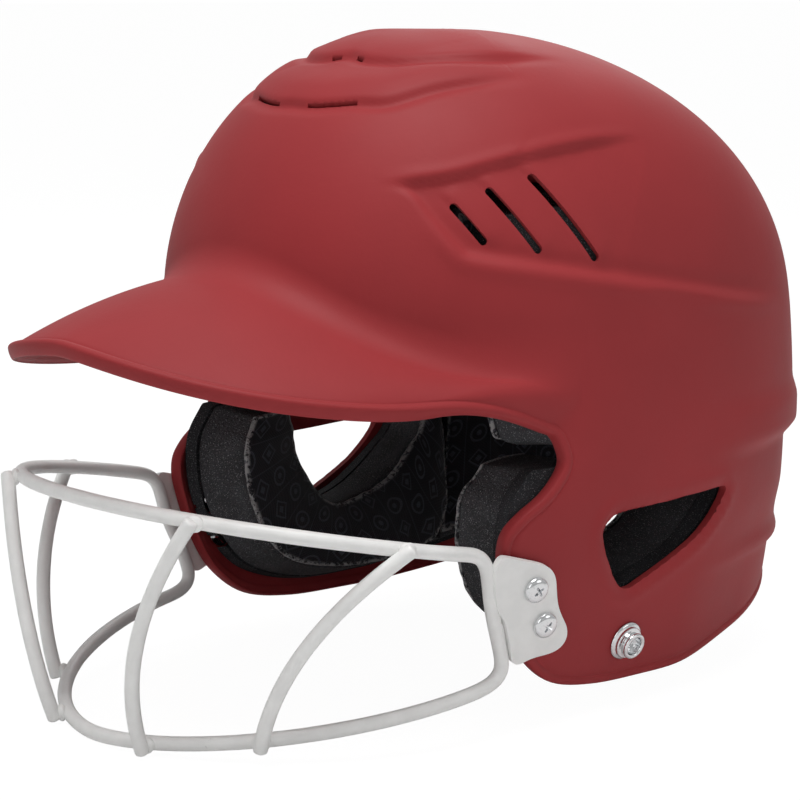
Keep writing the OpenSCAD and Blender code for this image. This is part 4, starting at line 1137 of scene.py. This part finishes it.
class Nodes:
    """The nodes of a material or a world, all made through one method."""

    def __init__(self, owner):
        owner.use_nodes = True
        self.tree = owner.node_tree

    def node(self, kind, settings=None, inputs=None, out=0):
        """A new node's output, or several; its settings come first, then the values or links of its sockets."""
        node = self.tree.nodes.new(kind)
        for key, value in (settings or {}).items():
            setattr(node, key, value)
        for key, value in (inputs or {}).items():
            self.put(node.inputs[key], value)
        if isinstance(out, tuple):
            return [Value(self, node.outputs[key]) for key in out]
        return Value(self, node.outputs[out])

    def put(self, socket, value):
        if isinstance(value, Value):
            self.tree.links.new(value.socket, socket)
        else:
            socket.default_value = value

    def math(self, operation, *values):
        return self.node("ShaderNodeMath", {"operation": operation}, dict(enumerate(values)))

    def own(self, kind):
        """The node of this type that the tree came with."""
        return next(node for node in self.tree.nodes if node.type == kind)


class Finish(Nodes):
    """A material, with the patterns that the finishes share."""

    def __init__(self, name):
        self.material = bpy.data.materials.new(name)
        super().__init__(self.material)
        self.shader = self.own("BSDF_PRINCIPLED")
        self.place = self.node("ShaderNodeTexCoord", out="Object")

    def noise(self, scale, detail=3.0, rough=0.55):
        return self.node("ShaderNodeTexNoise", None, {"Vector": self.place, "Scale": scale, "Detail": detail,
                                                       "Roughness": rough}, "Fac")

    def dots(self, scale):
        return self.node("ShaderNodeTexVoronoi", None, {"Vector": self.place, "Scale": scale}, "Distance")

    def band(self, value, low, high):
        """0 where the value is at low and 1 where it is at high, smooth between."""
        return self.node("ShaderNodeMapRange", {"interpolation_type": "SMOOTHSTEP"},
                         {"Value": value, "From Min": low, "From Max": high}, "Result")

    def mix(self, share, first, second):
        """A blend of two colours by a share."""
        return self.node("ShaderNodeMix", {"data_type": "RGBA"}, {0: share, 6: first, 7: second}, 2)

    def bump(self, height, distance, strength=1.0, normal=None):
        inputs = {"Height": height, "Distance": distance, "Strength": strength}
        if normal:
            inputs["Normal"] = normal
        return self.node("ShaderNodeBump", None, inputs, "Normal")

    def set(self, **sockets):
        """Puts values or links into the shader's sockets, and gives the material."""
        for key, value in sockets.items():
            self.put(self.shader.inputs[key.replace("_", " ")], value)
        return self.material


def shade(colour, factor):
    """A colour, darker or lighter, with its alpha."""
    return (*[min(1.0, c * factor) for c in colour[:3]], 1.0)


def shell_paint(s):
    """Matte soft-touch red: fine orange peel, a faint unevenness and a little dust."""
    f = Finish("soft_touch_red")
    broad, fine = f.noise(9, 4), f.noise(2600, 2)
    colour = f.mix(f.band(broad, 0.3, 0.7), shade(s.shell_colour, 0.94), shade(s.shell_colour, 1.06))
    dust = f.band(f.noise(900, 2, 0.7), 0.74, 0.8) * f.band(f.noise(30), 0.5, 0.7)
    colour = f.mix(dust * 0.3, colour, shade(s.shell_colour, 1.9))
    peel = f.bump(fine, 0.00006, 0.5, f.bump(f.noise(420, 2), 0.00012, 0.35))
    return f.set(Base_Color=colour, Roughness=0.5 + 0.1 * f.noise(60, 3), Normal=peel, Sheen_Weight=0.03,
                 Sheen_Roughness=0.45, Specular_IOR_Level=0.18)


def foam_skin(name, colour, grain, speckle):
    """Cut closed-cell foam: dark, with open cells and pale specks where the light catches their walls."""
    f = Finish(name)
    cells = f.dots(grain)
    uneven = f.noise(55, 3)
    tone = f.mix(f.band(uneven, 0.3, 0.7), shade(colour, 0.75), shade(colour, 1.3))
    glints = f.band(f.noise(2300, 2, 0.6), 0.6, 0.68)
    tone = f.mix(glints * speckle, tone, (0.34, 0.34, 0.35, 1))
    pits = f.bump(f.band(cells, 0.1, 0.5), 0.00035, 0.8, f.bump(uneven, 0.0008, 0.4))
    return f.set(Base_Color=tone, Roughness=0.86 + 0.1 * f.noise(240), Normal=pits, Specular_IOR_Level=0.3)


# Size of one motif of the print in metres, and stitches of the knit in radians per metre
PRINT_TILE, STITCHES = 0.0105, 5200


def liner_cloth(name, s):
    """Near-black knit with a faint printed repeat of diamonds and rings, and a frayed pale cut rim."""
    f = Finish(name)
    uv = f.node("ShaderNodeUVMap", {"uv_map": "cloth"}, None, "UV")
    x, y = f.node("ShaderNodeSeparateXYZ", None, {0: uv}, (0, 1))
    u, v = x / PRINT_TILE, y / PRINT_TILE
    column = u.math("FLOOR")
    v = v + column.math("FLOORED_MODULO", 2.0) * 0.5
    cell_u, cell_v = ((w.math("FRACT") - 0.5).math("ABSOLUTE") for w in (u, v))
    reach, slope = (cell_u * cell_u + cell_v * cell_v).math("SQRT"), cell_u + cell_v
    ring = f.band((reach - 0.3).math("ABSOLUTE"), 0.05, 0.03)
    dot = f.band(reach, 0.12, 0.09)
    diamond = f.band((slope - 0.33).math("ABSOLUTE"), 0.05, 0.03)
    core = f.band(slope, 0.16, 0.12)
    line = (column + v.math("FLOOR")).math("FLOORED_MODULO", 2.0)
    motif = line * ring.math("MAXIMUM", dot) + (1 - line) * diamond.math("MAXIMUM", core)
    frame_line = f.band(cell_u, 0.47, 0.49) * 0.6
    loops = (x * STITCHES).math("SINE") * (y * STITCHES).math("SINE") * 0.5 + 0.5
    worn = 0.55 + 0.45 * f.noise(150, 3)
    share = motif.math("MAXIMUM", frame_line) * worn * (0.6 + 0.4 * loops)
    colour = f.mix(share * 0.8, shade(s.fabric_colour, 1.0), (*s.print_colour, 1.0))
    rim = f.node("ShaderNodeAttribute", {"attribute_name": "rim"}, None, "Fac")
    frayed = rim * f.band(f.noise(700, 3, 0.7) + f.noise(160, 2) * 0.5, 0.66, 0.82)
    colour = f.mix(frayed * 0.8, colour, (0.42, 0.42, 0.42, 1))
    weave = f.bump(loops, 0.00022, 0.6, f.bump(f.noise(95, 3), 0.0007, 0.4))
    return f.set(Base_Color=colour, Roughness=0.8 + 0.12 * loops, Normal=weave, Sheen_Weight=0.25,
                 Sheen_Roughness=0.5, Specular_IOR_Level=0.3)


def guard_coat(s):
    """Satin off-white coating on wire, slightly uneven and a little scuffed."""
    f = Finish("dipped_coating")
    uneven = f.noise(130, 3)
    colour = f.mix(f.band(uneven, 0.35, 0.7), shade(s.coat_colour, 0.96), shade(s.coat_colour, 1.02))
    scuff = f.band(f.noise(420, 4, 0.7), 0.64, 0.72) * f.band(f.noise(38), 0.52, 0.68)
    colour = f.mix(scuff * 0.28, colour, (0.4, 0.39, 0.37, 1))
    skin = f.bump(f.noise(1500, 2), 0.00005, 0.4, f.bump(uneven, 0.0005, 0.35))
    return f.set(Base_Color=colour, Roughness=0.34 + 0.14 * f.noise(85), Normal=skin, Specular_IOR_Level=0.5)


def bright_metal(s, name):
    """Bright plated metal with fine turning marks and a few dull spots."""
    if name in bpy.data.materials:
        return bpy.data.materials[name]
    f = Finish(name)
    dull = f.band(f.noise(1400, 3), 0.5, 0.75)
    colour = f.mix(dull, (*s.metal_colour, 1.0), shade(s.metal_colour, 0.82))
    return f.set(Base_Color=colour, Metallic=1.0, Roughness=0.08 + 0.14 * dull,
                 Normal=f.bump(f.noise(2400, 2), 0.00003, 0.3))


def padding_materials(s):
    """Soft foam, dense foam and cloth, made by whichever padding operator comes first."""
    names = ("soft_foam_skin", "dense_foam_skin", "printed_knit")
    if names[-1] in bpy.data.materials:
        return [bpy.data.materials[name] for name in names]
    return [foam_skin(names[0], s.foam_colour, 900, 0.9), foam_skin(names[1], s.dense_colour, 1500, 0.5),
            liner_cloth(names[2], s)]


# Stage, in metres. Each lamp has a place, a size and a share of the lamp power
CAMERA_PLACE = (0.6800, -0.6385, 0.1121)
CAMERA_AXES = ((0.66144, 0.75000, 0.0), (-0.12314, 0.10860, 0.98643), (0.73982, -0.65247, 0.16419))
CAMERA_LENS, SENSOR_WIDTH, CLIP_START = 112.13, 36, 0.02
FLOOR_HEIGHT, FLOOR_SIZE, FLOOR_GLOW, GLOW_SHARE = -0.1415, 60, 1.08, 0.9
GLOSSY_SHARE, LAMPS_AIM = 0.35, Vector((0, -0.02, -0.02))
LAMPS = (("overhead", (0.15, -0.3, 1.5), 1.1, 1.35), ("front_fill", (0.9, -1.4, 0.5), 1.0, 0.13),
         ("side_fill", (1.5, 0.5, 0.6), 0.9, 0.12), ("back_fill", (-0.8, 1.1, 0.9), 0.9, 0.25))


def build_stage(s):
    """The camera at the photograph's angle, the pale floor, the white surroundings and the soft lamps."""
    scene = bpy.context.scene
    scene.view_settings.view_transform = "Standard"
    camera = bpy.data.cameras.new("camera")
    camera.lens, camera.sensor_width, camera.clip_start = CAMERA_LENS, SENSOR_WIDTH, CLIP_START
    scene.camera = linked("camera", camera)
    scene.camera.matrix_world = Matrix.Translation(CAMERA_PLACE) @ Matrix(CAMERA_AXES).transposed().to_4x4()

    bpy.ops.object.select_all(action="DESELECT")
    bpy.ops.mesh.primitive_plane_add(size=FLOOR_SIZE, location=(0, 0, FLOOR_HEIGHT))
    floor = bpy.context.object
    floor.name = "floor"
    f = Finish("pale_floor")
    f.set(Base_Color=(*s.floor_colour, 1.0), Roughness=0.9, Specular_IOR_Level=0.1)
    glow = f.node("ShaderNodeEmission", None, {"Strength": FLOOR_GLOW})
    seen = f.node("ShaderNodeLightPath", out="Is Camera Ray")
    blend = f.node("ShaderNodeMixShader", None, {0: seen * GLOW_SHARE, 1: Value(f, f.shader.outputs[0]), 2: glow})
    f.put(f.own("OUTPUT_MATERIAL").inputs["Surface"], blend)
    floor.data.materials.append(f.material)

    scene.world = bpy.data.worlds.new("studio")
    sky = Nodes(scene.world)
    seen, mirrored, through = sky.node("ShaderNodeLightPath",
                                       out=("Is Camera Ray", "Is Glossy Ray", "Is Transmission Ray"))
    white = (seen + through + mirrored * GLOSSY_SHARE).math("MINIMUM", 1.0)
    background = sky.own("BACKGROUND")
    sky.put(background.inputs["Color"], (1, 1, 1, 1))
    sky.put(background.inputs["Strength"], white * (1.0 - s.sky_level) + s.sky_level)

    for name, place, size, share in LAMPS:
        lamp = bpy.data.lights.new(name, "AREA")
        lamp.shape, lamp.size, lamp.energy = "DISK", size, s.lamp_power * share
        lamp_object = linked(name, lamp)
        lamp_object.location = place
        lamp_object.rotation_euler = (Vector(place) - LAMPS_AIM).to_track_quat("Z", "Y").to_euler()


# Sizes and colours that a user would change
def length(name, description, default):
    return bpy.props.FloatProperty(name=name, description=description, default=default, min=0.0, unit="LENGTH",
                                   precision=5)


def colour(name, description, default):
    return bpy.props.FloatVectorProperty(name=name, description=description, default=default, size=3, min=0.0, max=1.0,
                                         subtype="COLOR")


class HelmetShellSettings(bpy.types.PropertyGroup):
    recess_depth: length("Recess depth", "Depth of the moulded panel behind the temple", 0.0022)
    hump_height: length("Hump height", "Rise of the two moulded humps over the forehead", 0.0032)
    rim_height: length("Ear hole rim", "Rise of the rolled rim round each ear hole", 0.0009)
    shell_colour: colour("Shell", "Colour of the shell", (0.345, 0.035, 0.039))


class HelmetPaddingSettings(bpy.types.PropertyGroup):
    foam_colour: colour("Foam", "Colour of the soft foam", (0.045, 0.046, 0.050))
    dense_colour: colour("Dense foam", "Colour of the foam next to the shell", (0.022, 0.023, 0.026))
    fabric_colour: colour("Fabric", "Ground colour of the fabric", (0.010, 0.010, 0.014))
    print_colour: colour("Print", "Colour of the printed shapes", (0.085, 0.092, 0.115))


class HelmetGuardSettings(bpy.types.PropertyGroup):
    wire_diameter: length("Wire", "Diameter of the coated wire", 0.005)
    coat_colour: colour("Coating", "Colour of the guard", (0.97, 0.97, 0.955))
    metal_colour: colour("Fasteners", "Colour of the plated fasteners", (0.8, 0.81, 0.82))


class HelmetStageSettings(bpy.types.PropertyGroup):
    lamp_power: bpy.props.FloatProperty(name="Lamp power", description="Power of the overhead lamp, in watts",
                                        default=15.0, min=0.0)
    sky_level: bpy.props.FloatProperty(name="Sky level", description="Strength of the light from all round",
                                       default=0.17, min=0.0, max=1.0)
    floor_colour: colour("Floor", "Colour of the floor", (0.86, 0.86, 0.86))


class HelmetOperator:
    """What the helmet's operators share."""
    bl_options = {"REGISTER", "UNDO"}


class HELMET_OT_shell(HelmetOperator, bpy.types.Operator):
    """Mould the shell with its relief, ear holes, vents and rolled lip"""
    bl_idname = "helmet.shell"
    bl_label = "Shell"

    def execute(self, context):
        build_shell(context.scene.helmet_shell)
        return {"FINISHED"}


class HELMET_OT_brow_pad(HelmetOperator, bpy.types.Operator):
    """Lay the padding across the forehead"""
    bl_idname = "helmet.brow_pad"
    bl_label = "Brow pad"

    def execute(self, context):
        pad = Pad(BROW_HIGH, BROW_LOW, LINER_DEPTH, 13.0)
        build_pad("brow", pad, ("brow_pad", "brow_cover"), padding_materials(context.scene.helmet_padding),
                  liner="brow_liner")
        return {"FINISHED"}


class HELMET_OT_crown_pad(HelmetOperator, bpy.types.Operator):
    """Set the round cushion under the crown"""
    bl_idname = "helmet.crown_pad"
    bl_label = "Crown pad"

    def execute(self, context):
        build_crown_pad(padding_materials(context.scene.helmet_padding))
        return {"FINISHED"}


class HELMET_OT_rear_pad(HelmetOperator, bpy.types.Operator):
    """Lay the padding at the back of the head, with its sewn channel and creases"""
    bl_idname = "helmet.rear_pad"
    bl_label = "Rear pad"

    def execute(self, context):
        pad = Pad(REAR_HIGH, REAR_LOW, REAR_DEPTH, 13.0, dip=3.5)
        creases = [(0.3, 0.1, 0.016, 1.6), (0.7, -0.1, 0.016, 1.6), (0.14, -0.06, 0.012, 1.1), (0.86, 0.06, 0.012, 1.1)]
        build_pad("rear", pad, ("rear_pad", "rear_cover"), padding_materials(context.scene.helmet_padding), creases,
                  liner="rear_liner")
        return {"FINISHED"}


class HELMET_OT_temple_pads(HelmetOperator, bpy.types.Operator):
    """Lay a cushion inside each temple"""
    bl_idname = "helmet.temple_pads"
    bl_label = "Temple pads"

    def execute(self, context):
        pad = Pad(TEMPLE_HIGH, TEMPLE_LOW, TEMPLE_DEPTH, 19.5, lean=0.6, dense=False)
        build_pad("temple", pad, ("temple_pad", "temple_cover"), padding_materials(context.scene.helmet_padding),
                  [(0.5, 0.05, 0.012, 0.8)], pair=True)
        return {"FINISHED"}


class HELMET_OT_ear_pads(HelmetOperator, bpy.types.Operator):
    """Lay a horseshoe cushion round each ear hole"""
    bl_idname = "helmet.ear_pads"
    bl_label = "Ear pads"

    def execute(self, context):
        pad = Pad(EAR_INNER, EAR_OUTER, EAR_DEPTH, 23.5, lean=0.12, columns=200)
        build_pad("ear", pad, ("ear_pad", "ear_cover"), padding_materials(context.scene.helmet_padding), pair=True,
                  liner="ear_liner")
        return {"FINISHED"}


class HELMET_OT_guard(HelmetOperator, bpy.types.Operator):
    """Bend and weld the wire guard and shape its two plates"""
    bl_idname = "helmet.guard"
    bl_label = "Face guard"

    def execute(self, context):
        build_guard(context.scene.helmet_guard)
        return {"FINISHED"}


class HELMET_OT_screws(HelmetOperator, bpy.types.Operator):
    """Turn the guard's screws"""
    bl_idname = "helmet.screws"
    bl_label = "Guard screws"

    def execute(self, context):
        build_screws(context.scene.helmet_guard)
        return {"FINISHED"}


class HELMET_OT_studs(HelmetOperator, bpy.types.Operator):
    """Turn the strap studs, and finish the nuts and rivets inside"""
    bl_idname = "helmet.studs"
    bl_label = "Strap studs"

    def execute(self, context):
        build_studs(context.scene.helmet_guard)
        return {"FINISHED"}


class HELMET_OT_stage(HelmetOperator, bpy.types.Operator):
    """Set the floor, the lamps and the camera"""
    bl_idname = "helmet.stage"
    bl_label = "Stage"

    def execute(self, context):
        build_stage(context.scene.helmet_stage)
        return {"FINISHED"}


SETTINGS = {"helmet_shell": HelmetShellSettings, "helmet_padding": HelmetPaddingSettings,
            "helmet_guard": HelmetGuardSettings, "helmet_stage": HelmetStageSettings}
OPERATORS = (HELMET_OT_shell, HELMET_OT_brow_pad, HELMET_OT_crown_pad, HELMET_OT_rear_pad, HELMET_OT_temple_pads,
             HELMET_OT_ear_pads, HELMET_OT_guard, HELMET_OT_screws, HELMET_OT_studs, HELMET_OT_stage)


class HELMET_PT_sidebar(bpy.types.Panel):
    """Sizes, colours and pieces of the helmet"""
    bl_idname = "HELMET_PT_sidebar"
    bl_label = "Batting helmet"
    bl_space_type = "VIEW_3D"
    bl_region_type = "UI"
    bl_category = "Helmet"

    def draw(self, context):
        for name, group in SETTINGS.items():
            box = self.layout.box()
            for key in group.__annotations__:
                box.prop(getattr(context.scene, name), key)
        for operator in OPERATORS:
            self.layout.operator(operator.bl_idname)


def register():
    for item in (*SETTINGS.values(), *OPERATORS, HELMET_PT_sidebar):
        bpy.utils.register_class(item)
    for name, group in SETTINGS.items():
        setattr(bpy.types.Scene, name, bpy.props.PointerProperty(type=group))


def unregister():
    for name in SETTINGS:
        delattr(bpy.types.Scene, name)
    for item in reversed((*SETTINGS.values(), *OPERATORS, HELMET_PT_sidebar)):
        bpy.utils.unregister_class(item)


def main():
    register()
    bpy.ops.object.select_all(action="DESELECT")
    bpy.ops.helmet.shell()
    bpy.ops.helmet.brow_pad()
    bpy.ops.helmet.crown_pad()
    bpy.ops.helmet.rear_pad()
    bpy.ops.helmet.temple_pads()
    bpy.ops.helmet.ear_pads()
    bpy.ops.helmet.guard()
    bpy.ops.helmet.screws()
    bpy.ops.helmet.studs()
    bpy.ops.helmet.stage()


if __name__ == "__main__":
    main()
